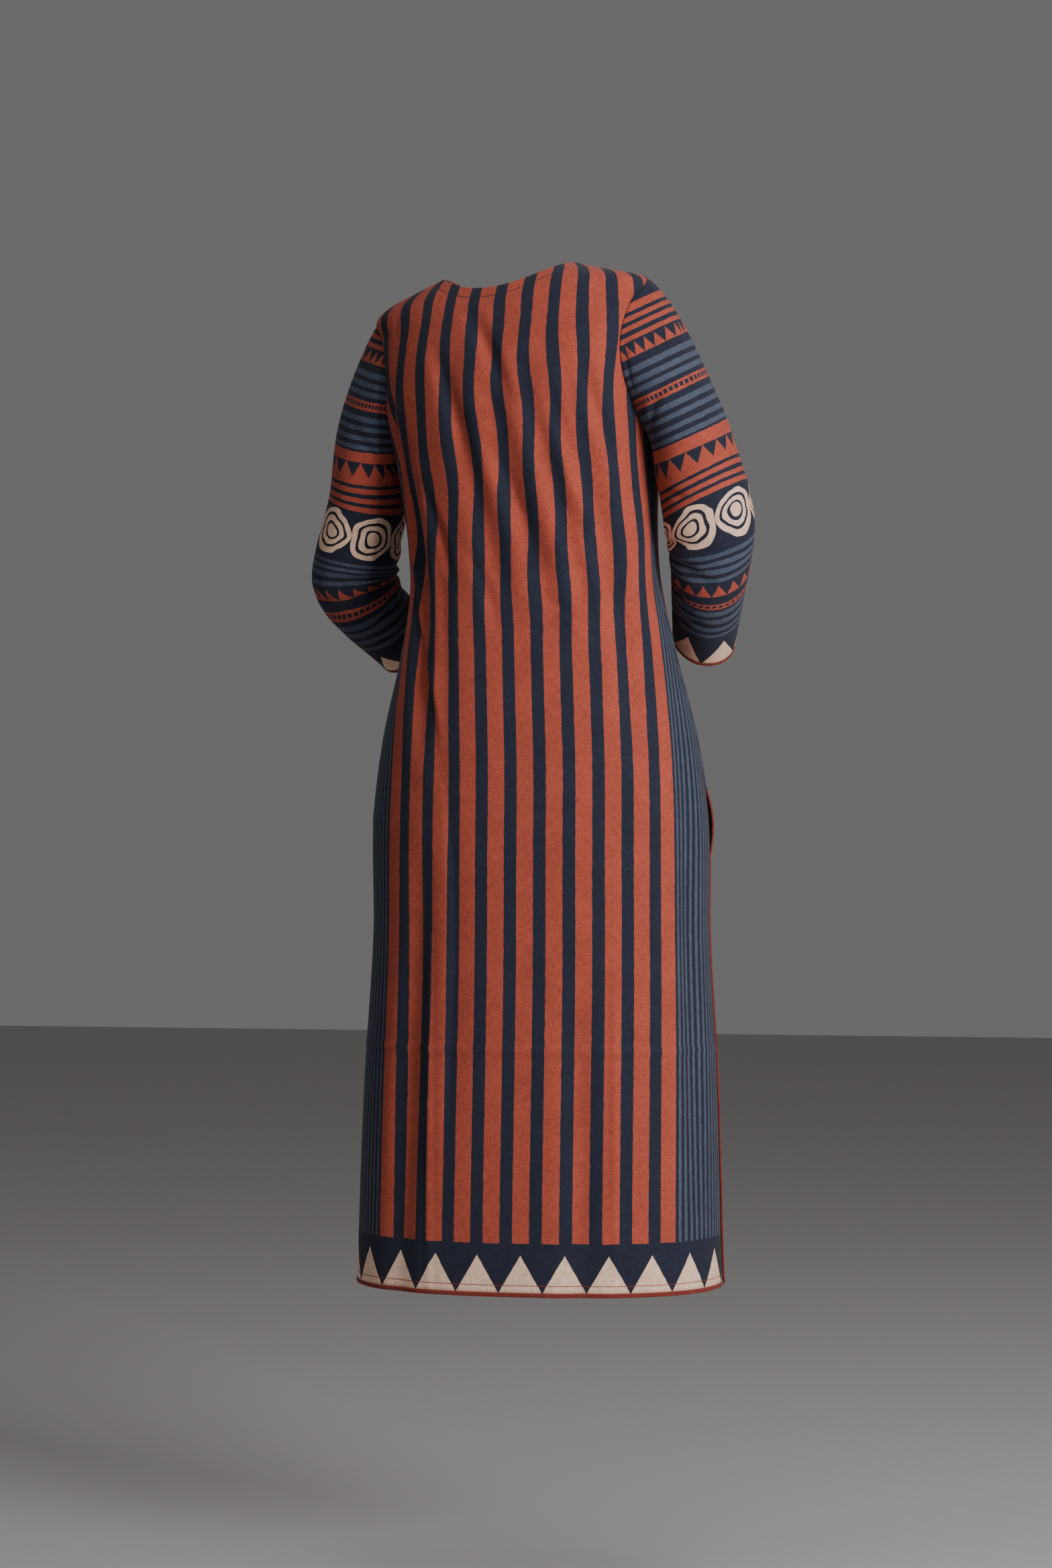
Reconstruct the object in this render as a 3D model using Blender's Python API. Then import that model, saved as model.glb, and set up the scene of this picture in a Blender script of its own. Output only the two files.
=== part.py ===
"""A printed cotton kurti with three-quarter sleeves, standing in its worn form on a general figure.

Metres, +Z up. The wearer faces -Y, and the wearer's right hand is at -X. The origin lies midway
between the two neck points, where the shoulders carry the cloth. Each panel is a grid of points
worked out from the sizes below. Two layers half a cloth thickness each way from it make its wall.
"""

import math

import bpy
import numpy as np

# Cloth
CLOTH = 0.0014
SEAM_GAP = 0.0003
ARMHOLE_GAP = 0.0005

# Cut of the body
NECK_HALF = 0.079
SHOULDER_HALF = 0.156
SHOULDER_DROP = 0.028
BACK_NECK_DROP = 0.025
FRONT_NECK_DROP = 0.095
BACK_NECK_ROUNDNESS = 1.0
FRONT_NECK_ROUNDNESS = 0.62
UNDERARM = -0.200
SLIT_TOP = -0.578
SLIT_GAP_TOP = 0.0015
SLIT_GAP_HEM = 0.010
HEM = -1.135
ARMHOLE_DEPTH_BACK = 0.058
ARMHOLE_DEPTH_FRONT = 0.050
ARMHOLE_FULLNESS = 0.72
GRAIN_LEVEL = -0.080

# Roundness of the body's rings: 2 is an ellipse, more is squarer
RING_POWER = 2.4

# Rings of the body, from the neck points down to the hem
BODY_COLUMNS = ("height", "half_width", "back_depth", "front_depth")
BODY_ROWS = (
    (0.030, 0.030, 0.052, 0.050),
    (0.000, 0.079, 0.061, 0.058),
    (-0.028, 0.156, 0.078, 0.068),
    (-0.060, 0.158, 0.091, 0.082),
    (-0.110, 0.158, 0.102, 0.099),
    (-0.160, 0.152, 0.107, 0.112),
    (-0.205, 0.1455, 0.106, 0.118),
    (-0.250, 0.142, 0.102, 0.118),
    (-0.300, 0.140, 0.099, 0.112),
    (-0.345, 0.140, 0.099, 0.105),
    (-0.435, 0.156, 0.115, 0.107),
    (-0.525, 0.177, 0.131, 0.116),
    (-0.600, 0.188, 0.137, 0.123),
    (-0.750, 0.190, 0.138, 0.129),
    (-0.900, 0.199, 0.139, 0.131),
    (-1.135, 0.207, 0.141, 0.134),
)

# How the worn form leans and turns: the hips stand to the wearer's right of the neck, and the right
# shoulder is high and turned back
LEAN_COLUMNS = ("height", "to_right", "tilt", "turn_degrees")
LEAN_ROWS = (
    (0.030, 0.000, 0.078, 10.0),
    (0.000, 0.000, 0.078, 10.0),
    (-0.028, -0.002, 0.101, 10.0),
    (-0.060, 0.000, 0.104, 10.0),
    (-0.150, 0.0045, 0.092, 10.0),
    (-0.200, 0.009, 0.085, 10.0),
    (-0.300, 0.017, 0.055, 6.5),
    (-0.435, 0.025, 0.006, 1.0),
    (-0.525, 0.027, 0.000, 0.0),
    (-1.135, 0.027, 0.000, 0.0),
)
# The sleeves hang with the shoulders, and the left forearm is raised as far as the right one
ARM_ROWS = LEAN_ROWS[:6] + (
    (-0.320, 0.003, 0.085, 10.0),
    (-0.440, 0.000, 0.010, 10.0),
)

# Largest folds of each panel. Across is from the centre line, to the wearer's left when positive,
# and a fold's depth is positive where the cloth falls inwards.
FOLD_COLUMNS = ("top_across", "top_height", "end_across", "end_height", "depth", "half_width")
BACK_FOLDS = (
    (0.128, -0.150, 0.118, -0.560, 0.011, 0.020),
    (0.052, -0.075, 0.008, -0.420, 0.0045, 0.019),
    (0.008, -0.065, -0.046, -0.440, 0.0050, 0.020),
    (-0.040, -0.100, -0.088, -0.430, 0.0055, 0.018),
    (-0.092, -0.120, -0.128, -0.560, 0.0065, 0.019),
    (0.088, -0.260, 0.094, -0.600, 0.0035, 0.018),
    (0.118, -0.640, 0.150, -1.230, 0.0060, 0.024),
    (-0.060, -0.760, -0.072, -1.230, 0.0045, 0.024),
    (-0.190, -0.420, -0.205, -1.060, 0.0050, 0.022),
)
FRONT_FOLDS = (
    (0.130, -0.225, 0.150, -0.620, 0.0080, 0.021),
    (-0.128, -0.225, -0.150, -0.600, 0.0080, 0.021),
    (0.060, -0.290, 0.040, -0.640, 0.0050, 0.020),
    (-0.052, -0.290, -0.036, -0.620, 0.0050, 0.020),
    (0.090, -0.620, 0.120, -1.230, 0.0070, 0.026),
    (-0.100, -0.640, -0.124, -1.230, 0.0065, 0.026),
    (0.004, -0.560, 0.000, -1.230, 0.0050, 0.026),
)
BUST_ACROSS = 0.078
BUST_HEIGHT = -0.228
BUST_RISE = 0.012
BUST_SPREAD = 0.052
SLIT_FLARE = 0.0045
SLIT_FLARE_LENGTH = 0.080

# Centre line of a sleeve and its half sizes, from the first full ring below the armhole to the cuff.
# Out is away from the body, back is along +Y.
SLEEVE_COLUMNS = ("out", "back", "height", "half_width", "half_depth")
SLEEVE_ROWS = (
    (0.1925, -0.010, -0.206, 0.0425, 0.0560),
    (0.1970, -0.016, -0.232, 0.0445, 0.0555),
    (0.2045, -0.022, -0.262, 0.0465, 0.0545),
    (0.2115, -0.027, -0.291, 0.0485, 0.0530),
    (0.2160, -0.033, -0.318, 0.0485, 0.0510),
    (0.2130, -0.045, -0.341, 0.0455, 0.0475),
    (0.2045, -0.066, -0.364, 0.0415, 0.0435),
    (0.1935, -0.094, -0.388, 0.0380, 0.0400),
    (0.1820, -0.125, -0.413, 0.0350, 0.0370),
)
BAND_TILT = 0.13
HEAD_PULL = 0.65
ELBOW_STEP = 0.46
ELBOW_SPREAD = 0.21
ELBOW_FOLD = 0.0038
ELBOW_FOLDS = 3.0
FOREARM_SAG = 0.0028

# Bound edges
HEM_PIPING_HEIGHT = 0.0035
CUFF_PIPING_HEIGHT = 0.0040
SLIT_PIPING_WIDTH = 0.0035
PIPING_CLOTH = 0.0018

# Grid steps
NECK_STEPS = 7
SHOULDER_STEPS = 7
LOWER_STEPS = 21
LOWER_CROWDING = 1.35
ARMHOLE_STEPS = 10
HEAD_STEPS = 8
TUBE_STEPS = 17

RUST = (0.37, 0.082, 0.040, 1.0)
NAVY = (0.021, 0.030, 0.060, 1.0)
MAROON = (0.19, 0.028, 0.022, 1.0)


def read_table(rows, column, height):
    """One column of a table at any height: a cubic through its rows, with the slopes of its neighbours."""
    table = np.array(rows)[::-1]
    knots, values = table[:, 0], table[:, column]
    slopes = np.gradient(values, knots)
    place = np.clip(np.searchsorted(knots, height) - 1, 0, len(knots) - 2)
    span = knots[place + 1] - knots[place]
    t = np.clip((height - knots[place]) / span, 0.0, 1.0)
    rise = values[place + 1] - values[place]
    start, end = slopes[place] * span, slopes[place + 1] * span
    return values[place] + start * t + (3 * rise - 2 * start - end) * t**2 + (start + end - 2 * rise) * t**3


def smooth_step(low, high, value):
    """0 below low, 1 above high, and an S between them."""
    t = np.clip((value - low) / (high - low), 0.0, 1.0)
    return t * t * (3 - 2 * t)


def shoulder_height(across):
    """Height of the shoulder seam that far from the centre line: where the body's rings are that wide."""
    heights = np.linspace(0.0, -SHOULDER_DROP, 57)
    return np.interp(np.abs(across), read_table(BODY_ROWS, 1, heights), heights)


def neckline_height(across, drop, roundness):
    """Height of the neckline: a parabola at roundness 1, half an ellipse at 0.5."""
    return -drop * (1.0 - np.clip(np.abs(across) / NECK_HALF, 0.0, 1.0) ** 2) ** roundness


def armhole_depth(height, deepest):
    """How far the armhole's edge stands from the side seam, front to back: half an oval."""
    middle = (UNDERARM - SHOULDER_DROP) / 2
    half = (-SHOULDER_DROP - UNDERARM) / 2
    share = np.clip((height - middle) / half, -1.0, 1.0)
    return deepest * (1.0 - share**2) ** ARMHOLE_FULLNESS


def quarter_ring(half_width, depth):
    """Lengths along one quarter ring from its centre to its side, and the angles they are reached at."""
    angle = np.linspace(0.0, math.pi / 2, 181)
    x = half_width * np.sin(angle) ** (2 / RING_POWER)
    y = depth * np.cos(angle) ** (2 / RING_POWER)
    return np.concatenate([[0.0], np.cumsum(np.hypot(np.diff(x), np.diff(y)))]), angle


def cross_shares():
    """Shares of the half panel, centre to side: even angles on the neckline, then even on the shoulder."""
    neck = NECK_HALF / SHOULDER_HALF * np.sin(np.linspace(0, math.pi / 2, NECK_STEPS + 1))
    shoulder = np.linspace(NECK_HALF / SHOULDER_HALF, 1.0, SHOULDER_STEPS + 1)[1:]
    half = np.concatenate([neck, shoulder])
    return np.concatenate([-half[:0:-1], half])


def fold_depths(folds, across, height):
    """Sum of the folds: each is a trough with a low ridge on each side, fading at its two ends."""
    total = np.zeros_like(across)
    for top_across, top_height, end_across, end_height, depth, half_width in folds:
        along = (top_height - height) / (top_height - end_height)
        middle = top_across + (end_across - top_across) * along
        off = (across - middle) / half_width
        fade = np.sin(math.pi * np.clip(along, 0.0, 1.0)) ** 0.8
        total += depth * fade * (1.0 - 1.1 * off**2) * np.exp(-(off**2))
    return total


def panel_grid(side, folds, neck_drop, roundness, deepest):
    """Points of the back (side 1) or front (side -1) panel: rows from the hem up, columns across."""
    shares = cross_shares()
    rows = LOWER_STEPS + ARMHOLE_STEPS
    points = np.zeros((rows + 1, len(shares), 3))
    top_across = shares * SHOULDER_HALF
    on_neck = np.abs(top_across) < NECK_HALF
    tops = np.where(on_neck, neckline_height(top_across, neck_drop, roundness), shoulder_height(top_across))
    depth_column = BODY_COLUMNS.index("back_depth" if side > 0 else "front_depth")
    for row in range(rows + 1):
        if row <= LOWER_STEPS:
            down = (1.0 - row / LOWER_STEPS) ** LOWER_CROWDING
            heights = np.full(len(shares), UNDERARM + (HEM - UNDERARM) * down)
        else:
            turn = (row - LOWER_STEPS) / ARMHOLE_STEPS * math.pi
            heights = UNDERARM + (tops - UNDERARM) * (1.0 - math.cos(turn)) / 2
        for column, (share, height) in enumerate(zip(shares, heights)):
            points[row, column] = panel_point(side, share, height, depth_column, deepest)
    across, height = points[..., 0], points[..., 2]
    arc = signed_arc(points)
    inwards = fold_depths(folds, arc, height)
    to_edge = np.abs(arc[:, -1:]) - np.abs(arc)
    free = np.maximum(smooth_step(0.0, 0.030, to_edge), 1.0 - smooth_step(SLIT_TOP - 0.1, SLIT_TOP, height))
    inwards *= free * smooth_step(0.0, 0.03, tops[None, :] - height)
    if side < 0:
        inwards -= bust_rise(across, height) * smooth_step(0.0, 0.045, to_edge)
        inwards -= slit_flare(shares[None, :], height)
    points -= ring_normals(points, side) * inwards[..., None]
    points[..., 1] += side * SEAM_GAP / 2
    return points


def panel_point(side, share, height, depth_column, deepest):
    """One point of a panel: on the ring at its height, at its share of the way to the panel's edge."""
    half_width = read_table(BODY_ROWS, 1, height)
    depth = read_table(BODY_ROWS, depth_column, height)
    edge_depth = 0.0
    if UNDERARM < height < -SHOULDER_DROP:
        edge_depth = float(armhole_depth(height, deepest))
    edge_angle = math.acos(min(edge_depth / depth, 1.0) ** (RING_POWER / 2))
    edge_across = half_width * math.sin(edge_angle) ** (2 / RING_POWER)
    gap = 0.0
    if height < SLIT_TOP:
        gap = SLIT_GAP_TOP + (SLIT_GAP_HEM - SLIT_GAP_TOP) * (SLIT_TOP - height) / (SLIT_TOP - HEM)
    arc, angles = quarter_ring(half_width, depth)
    side_arc = arc[-1] - gap
    taken = arc[-1] - np.interp(edge_angle, angles, arc)
    by_arc = np.interp(abs(share) * side_arc - taken * abs(share) ** 2.5, arc, angles)
    if height > -SHOULDER_DROP:
        edge_across = SHOULDER_HALF
    by_grain = math.asin(min(abs(share) * edge_across / half_width, 1.0) ** (RING_POWER / 2))
    blend = float(smooth_step(UNDERARM - 0.02, GRAIN_LEVEL, height))
    angle = by_arc * (1.0 - blend) + by_grain * blend
    x = half_width * math.sin(angle) ** (2 / RING_POWER)
    y = depth * max(math.cos(angle), 0.0) ** (2 / RING_POWER)
    return math.copysign(x, share), side * y, height


def signed_arc(points):
    """Distance of each point from its panel's centre line, along its row."""
    steps = np.linalg.norm(np.diff(points[..., :2], axis=1), axis=2)
    run = np.concatenate([np.zeros((len(points), 1)), np.cumsum(steps, axis=1)], axis=1)
    return run - run[:, points.shape[1] // 2][:, None]


def bust_rise(across, height):
    """Fullness that the front is cut with: two low round swells."""
    swell = np.zeros_like(across)
    for side in (-1, 1):
        off = np.hypot(across - side * BUST_ACROSS, height - BUST_HEIGHT) / BUST_SPREAD
        swell += BUST_RISE * np.exp(-(off**2))
    return swell


def slit_flare(shares, height):
    """The front's slit edges stand out a little just below the top of the slits."""
    share = np.clip((SLIT_TOP - height) / SLIT_FLARE_LENGTH, 0.0, 1.0)
    return SLIT_FLARE * np.sin(math.pi * share) * smooth_step(0.82, 1.0, np.abs(shares))


def grid_normals(points):
    """Unit normals of a grid from its rows and columns."""
    along = np.gradient(points, axis=0)
    across = np.gradient(points, axis=1)
    normals = np.cross(across, along)
    return normals / np.maximum(np.linalg.norm(normals, axis=2, keepdims=True), 1e-12)


def ring_normals(points, side):
    """Outward normals of a panel, level with the seams where the two panels meet."""
    normals = grid_normals(points) * -side
    seam_rows = points[:, 0, 2] <= UNDERARM + 1e-6
    normals[seam_rows, 0, 1] = 0.0
    normals[seam_rows, -1, 1] = 0.0
    on_shoulder = np.abs(cross_shares()) * SHOULDER_HALF >= NECK_HALF - 1e-9
    normals[-1, on_shoulder, 1] = 0.0
    return normals / np.linalg.norm(normals, axis=2, keepdims=True)


def worn(points, rows=LEAN_ROWS):
    """The lean and turn of the worn form."""
    height = points[..., 2]
    turn = np.radians(read_table(rows, 3, height))
    x, y = points[..., 0], points[..., 1]
    leaned = np.stack([x * np.cos(turn) + y * np.sin(turn), y * np.cos(turn) - x * np.sin(turn)], axis=-1)
    lowered = height - read_table(rows, 2, height) * x
    leaned[..., 0] -= read_table(rows, 1, height)
    return np.concatenate([leaned, lowered[..., None]], axis=-1)


def wall(name, middle, normals, thickness, colour, round_it=False):
    """A closed solid: the grid moved half a thickness out and in, with a rim along its open edges."""
    outer = middle + normals * thickness / 2
    inner = middle - normals * thickness / 2
    rows, columns = middle.shape[:2]
    points = np.concatenate([outer.reshape(-1, 3), inner.reshape(-1, 3)])
    index = np.arange(rows * columns).reshape(rows, columns)
    if round_it:
        index = np.concatenate([index, index[:, :1]], axis=1)
    faces = quads(index, False) + quads(index + rows * columns, True)
    shift = rows * columns
    faces += rim(index[0], shift, False) + rim(index[-1], shift, True)
    if not round_it:
        faces += rim(index[:, 0], shift, True) + rim(index[:, -1], shift, False)
    return solid(name, points, faces, colour)


def quads(index, turned):
    """Faces of a grid of point numbers."""
    a, b, c, d = index[:-1, :-1], index[:-1, 1:], index[1:, 1:], index[1:, :-1]
    corners = (a, d, c, b) if turned else (a, b, c, d)
    return np.stack(corners, axis=-1).reshape(-1, 4).tolist()


def rim(edge, shift, turned):
    """Faces that join one edge of the outer layer to the same edge of the inner one."""
    first, second = edge[:-1], edge[1:]
    corners = (first, first + shift, second + shift, second)
    corners = corners[::-1] if turned else corners
    return np.stack(corners, axis=-1).tolist()


def solid(name, points, faces, colour):
    """One named object of these faces, turned the right way out."""
    mesh = bpy.data.meshes.new(name)
    mesh.from_pydata(points.tolist(), [], faces)
    mesh.validate()
    if signed_volume(mesh) < 0:
        mesh.flip_normals()
    mesh.shade_smooth()
    mesh.set_sharp_from_angle(angle=math.radians(40))
    mesh.materials.append(material(name + "_cloth", colour))
    made = bpy.data.objects.new(name, mesh)
    bpy.context.scene.collection.objects.link(made)
    return made


def signed_volume(mesh):
    """Volume that the faces enclose, negative when they point inwards."""
    mesh.calc_loop_triangles()
    corners = np.array([[mesh.vertices[i].co for i in t.vertices] for t in mesh.loop_triangles])
    return float(np.einsum("ij,ij->i", corners[:, 0], np.cross(corners[:, 1], corners[:, 2])).sum() / 6)


def material(name, colour):
    """Plain cotton of one colour."""
    made = bpy.data.materials.new(name)
    made.use_nodes = True
    shader = made.node_tree.nodes["Principled BSDF"]
    shader.inputs["Base Color"].default_value = colour
    shader.inputs["Roughness"].default_value = 0.85
    return made


def armhole_loop(back, front, side):
    """Points round one armhole, from the shoulder tip down the back and up the front, with the body's
    own outward and towards-the-opening directions at each."""
    column = 0 if side < 0 else -1
    rows = slice(LOWER_STEPS, LOWER_STEPS + ARMHOLE_STEPS + 1)
    down_back, up_front = back[rows, column][::-1], front[rows, column]
    loop = np.concatenate([down_back, up_front[1:-1]])
    normals = np.concatenate(
        [ring_normals(back, 1)[rows, column][::-1], ring_normals(front, -1)[rows, column][1:-1]]
    )
    tangent = np.roll(loop, -1, axis=0) - np.roll(loop, 1, axis=0)
    opening = unit(np.cross(tangent, normals))
    if opening[0, 0] * side < 0:
        opening = -opening
    return loop, normals, opening


def sleeve_grid(side, back, front):
    """Points of one sleeve, rows from the armhole to the cuff and columns round it from the outer side
    over the back. Side 1 is the wearer's left."""
    mirror = np.array([side, 1.0, 1.0])
    loop, loop_normals, opening = armhole_loop(back, front, side)
    loop, loop_normals, opening = loop * mirror, loop_normals * mirror, opening * mirror
    count = len(loop)
    turn = np.arange(count) / count * 2 * math.pi
    tube = tube_rings(turn)
    start = head_directions(turn)
    facing = np.einsum("ij,ij->i", start, opening)[:, None]
    lift = (CLOTH / 2 + ARMHOLE_GAP) * (1 - np.clip(facing, 0, 1)) + CLOTH / 2 * np.clip(-facing, 0, 1)
    loop = loop + opening * ARMHOLE_GAP + loop_normals * lift
    end = tube[1] - tube[0]
    end /= np.linalg.norm(end, axis=1, keepdims=True)
    reach = np.linalg.norm(tube[0] - loop, axis=1)[:, None]
    t = np.linspace(0, 1, HEAD_STEPS + 1)[:-1, None, None]
    head = (
        loop * (1 - 3 * t**2 + 2 * t**3)
        + start * reach * HEAD_PULL * (t - 2 * t**2 + t**3)
        + tube[0] * (3 * t**2 - 2 * t**3)
        + end * reach * (t**3 - t**2)
    )
    return np.concatenate([head, tube]) * mirror


def head_directions(turn):
    """How the sleeve leaves the armhole: outwards over the shoulder, more downwards under the arm."""
    out = 0.60 + 0.05 * np.cos(turn)
    down = 0.74 - 0.02 * np.cos(turn)
    back = 0.05 * np.sin(turn)
    directions = np.stack([out, back, -down], axis=1)
    return directions / np.linalg.norm(directions, axis=1, keepdims=True)


def tube_rings(turn):
    """Rings of the sleeve below the armhole, each square to the centre line but for the bands' tilt."""
    rows = np.array(SLEEVE_ROWS)
    run = np.concatenate([[0], np.cumsum(np.linalg.norm(np.diff(rows[:, :3], axis=0), axis=1))])
    table = np.column_stack([run, rows])[::-1]
    length = run[-1]
    step = np.linspace(0, length, TUBE_STEPS + 1)
    centre = np.stack([read_table(table, k, step) for k in (1, 2, 3)], axis=1)
    half_width, half_depth = read_table(table, 4, step), read_table(table, 5, step)
    direction = np.gradient(centre, step, axis=0)
    direction /= np.linalg.norm(direction, axis=1, keepdims=True)
    outward = np.array([1.0, 0.0, 0.0]) - direction[:, :1] * direction
    outward /= np.linalg.norm(outward, axis=1, keepdims=True)
    backward = np.cross(outward, direction)
    share = (step / length)[:, None]
    crease = elbow_creases(share, turn[None, :])
    width = half_width[:, None] * np.cos(turn)[None, :]
    depth = half_depth[:, None] * np.sin(turn)[None, :]
    tilt = BAND_TILT * (1.0 - smooth_step(0.25, 0.7, share)) * width
    swell = 1.0 + crease / half_depth[:, None]
    return (
        centre[:, None]
        + outward[:, None] * (width * swell)[..., None]
        + backward[:, None] * (depth * swell)[..., None]
        - direction[:, None] * tilt[..., None]
    )


def elbow_creases(share, turn):
    """Height of the cloth's folds at the bend of the arm: strong inside it, none at the elbow's point."""
    inside = np.clip(-np.sin(turn + 0.35), 0.0, 1.0) ** 1.2
    near = np.exp(-(((share - ELBOW_STEP) / ELBOW_SPREAD) ** 2))
    wave = np.cos((share - ELBOW_STEP) / ELBOW_SPREAD * ELBOW_FOLDS * math.pi)
    sag = FOREARM_SAG * np.sin(2 * turn + 0.6) * smooth_step(0.55, 0.8, share)
    return ELBOW_FOLD * inside * near * wave + sag


def tube_normals(points):
    """Outward normals of a closed round grid."""
    padded = np.concatenate([points[:, -1:], points, points[:, :1]], axis=1)
    return grid_normals(padded)[:, 1:-1]


def bound_edge(name, edge, outward, downward, height, round_it=False):
    """Piping: a narrow strip that follows an edge of the cloth, a seam gap beyond it."""
    near = edge + downward * SEAM_GAP
    far = edge + downward * (SEAM_GAP + height)
    middle = np.stack([near, far])
    return wall(name, middle, np.stack([outward, outward]), PIPING_CLOTH, MAROON, round_it)


def unit(vectors):
    """These vectors at length 1."""
    return vectors / np.linalg.norm(vectors, axis=-1, keepdims=True)


def build_panels():
    """Back and front, then the hem's and the slits' bound edges."""
    plain = {
        "back": panel_grid(1, BACK_FOLDS, BACK_NECK_DROP, BACK_NECK_ROUNDNESS, ARMHOLE_DEPTH_BACK),
        "front": panel_grid(-1, FRONT_FOLDS, FRONT_NECK_DROP, FRONT_NECK_ROUNDNESS, ARMHOLE_DEPTH_FRONT),
    }
    for name, side, colour in (("back", 1, RUST), ("front", -1, RUST)):
        points = worn(plain[name])
        normals = ring_normals(points, side)
        wall(name + "_panel", points, normals, CLOTH, colour)
        down = unit(points[0] - points[1])
        bound_edge(name + "_hem_piping", points[0], normals[0], down, HEM_PIPING_HEIGHT)
        if side > 0:
            continue
        slit_rows = np.nonzero(plain[name][:, 0, 2] < SLIT_TOP - SLIT_PIPING_WIDTH)[0]
        for hand, column, inner in (("right", 0, 1), ("left", -1, -2)):
            edge = points[slit_rows, column]
            away = unit(edge - points[slit_rows, inner])
            bound_edge(f"{hand}_slit_piping", edge, normals[slit_rows, column], away, SLIT_PIPING_WIDTH)
    return plain


def build_sleeves(plain):
    """Both sleeves, each with its bound cuff."""
    for hand, side in (("right", -1), ("left", 1)):
        points = worn(sleeve_grid(side, plain["back"], plain["front"]), ARM_ROWS)
        normals = tube_normals(points) * side
        wall(hand + "_sleeve", points, normals, CLOTH, NAVY, round_it=True)
        down = unit(points[-1] - points[-2])
        bound_edge(hand + "_cuff_piping", points[-1], normals[-1], down, CUFF_PIPING_HEIGHT, round_it=True)


def main():
    for old in list(bpy.data.objects):
        bpy.data.objects.remove(old)
    build_sleeves(build_panels())


main()
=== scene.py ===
"""A printed cotton kurti in its worn form, seen from behind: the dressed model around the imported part.

Metres, +Z up. The wearer faces -Y, and the wearer's right hand is at -X. Every cloth piece is a surface
worked out from two parameters, with a wall half a cloth thickness each way. Its print is drawn by the
material from a UV map named cloth, which holds the flat cloth's own metres.
"""

import math

import bpy
import numpy as np
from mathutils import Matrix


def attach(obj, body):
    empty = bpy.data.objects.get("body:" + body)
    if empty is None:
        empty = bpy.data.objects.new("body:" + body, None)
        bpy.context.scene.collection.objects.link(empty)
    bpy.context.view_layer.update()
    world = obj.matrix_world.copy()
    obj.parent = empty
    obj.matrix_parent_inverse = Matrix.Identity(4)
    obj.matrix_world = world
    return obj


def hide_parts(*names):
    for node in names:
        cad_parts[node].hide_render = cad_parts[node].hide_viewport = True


bl_info = {
    "name": "Kurti",
    "version": (1, 0, 0),
    "blender": (4, 5, 0),
    "location": "3D View > Sidebar > Kurti",
    "description": "Builds a printed cotton kurti, its bound edges and a plain studio",
    "category": "Object",
}

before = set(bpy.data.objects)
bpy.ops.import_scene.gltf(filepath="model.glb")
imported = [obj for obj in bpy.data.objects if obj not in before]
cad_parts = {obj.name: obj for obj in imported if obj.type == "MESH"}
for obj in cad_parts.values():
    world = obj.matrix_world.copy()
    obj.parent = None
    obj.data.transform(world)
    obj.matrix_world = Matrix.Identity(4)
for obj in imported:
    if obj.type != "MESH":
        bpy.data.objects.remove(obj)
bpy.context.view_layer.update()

MM = 0.001
HALF_TURN = math.pi

# Cut of the body
NECK_HALF = 0.079
SHOULDER_HALF = 0.156
SHOULDER_DROP = 0.028
UNDERARM = -0.200
SLIT_TOP = -0.578
SLIT_GAP_TOP = 0.0015
SLIT_GAP_HEM = 0.010
HEM = -1.135
ARMHOLE_FULLNESS = 0.72
GRAIN_LEVEL = -0.080
RING_POWER = 2.4

# Rings of the body, from the neck points down to the hem
BODY_COLUMNS = ("height", "half_width", "back_depth", "front_depth")
BODY_ROWS = (
    (0.030, 0.030, 0.052, 0.050),
    (0.000, 0.079, 0.061, 0.058),
    (-0.028, 0.156, 0.078, 0.068),
    (-0.060, 0.158, 0.091, 0.082),
    (-0.110, 0.158, 0.102, 0.099),
    (-0.160, 0.152, 0.107, 0.112),
    (-0.205, 0.1455, 0.106, 0.118),
    (-0.250, 0.142, 0.102, 0.118),
    (-0.300, 0.140, 0.099, 0.112),
    (-0.345, 0.140, 0.099, 0.105),
    (-0.435, 0.156, 0.115, 0.107),
    (-0.525, 0.177, 0.131, 0.116),
    (-0.600, 0.188, 0.137, 0.123),
    (-0.750, 0.190, 0.138, 0.129),
    (-0.900, 0.199, 0.139, 0.131),
    (-1.135, 0.207, 0.141, 0.134),
)

# The worn form leans and turns: the hips stand to the wearer's right of the neck, and the right
# shoulder is high and turned back
LEAN_COLUMNS = ("height", "to_right", "tilt", "turn_degrees")
LEAN_ROWS = (
    (0.030, 0.000, 0.078, 10.0),
    (0.000, 0.000, 0.078, 10.0),
    (-0.028, -0.002, 0.101, 10.0),
    (-0.060, 0.000, 0.104, 10.0),
    (-0.150, 0.0045, 0.092, 10.0),
    (-0.200, 0.009, 0.085, 10.0),
    (-0.300, 0.017, 0.055, 6.5),
    (-0.435, 0.025, 0.006, 1.0),
    (-0.525, 0.027, 0.000, 0.0),
    (-1.135, 0.027, 0.000, 0.0),
)
ARM_ROWS = LEAN_ROWS[:6] + (
    (-0.320, 0.003, 0.085, 10.0),
    (-0.440, 0.000, 0.010, 10.0),
)

# Largest folds, as the solids have them. Across is from the centre line, to the wearer's left when
# positive, and a fold's depth is positive where the cloth falls inwards.
FOLD_COLUMNS = ("top_across", "top_height", "end_across", "end_height", "depth", "half_width")
BACK_FOLDS = (
    (0.128, -0.150, 0.118, -0.560, 0.011, 0.020),
    (0.052, -0.075, 0.008, -0.420, 0.0045, 0.019),
    (0.008, -0.065, -0.046, -0.440, 0.0050, 0.020),
    (-0.040, -0.100, -0.088, -0.430, 0.0055, 0.018),
    (-0.092, -0.120, -0.128, -0.560, 0.0065, 0.019),
    (0.088, -0.260, 0.094, -0.600, 0.0035, 0.018),
    (0.118, -0.640, 0.150, -1.230, 0.0060, 0.024),
    (-0.060, -0.760, -0.072, -1.230, 0.0045, 0.024),
    (-0.190, -0.420, -0.205, -1.060, 0.0050, 0.022),
)
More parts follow.
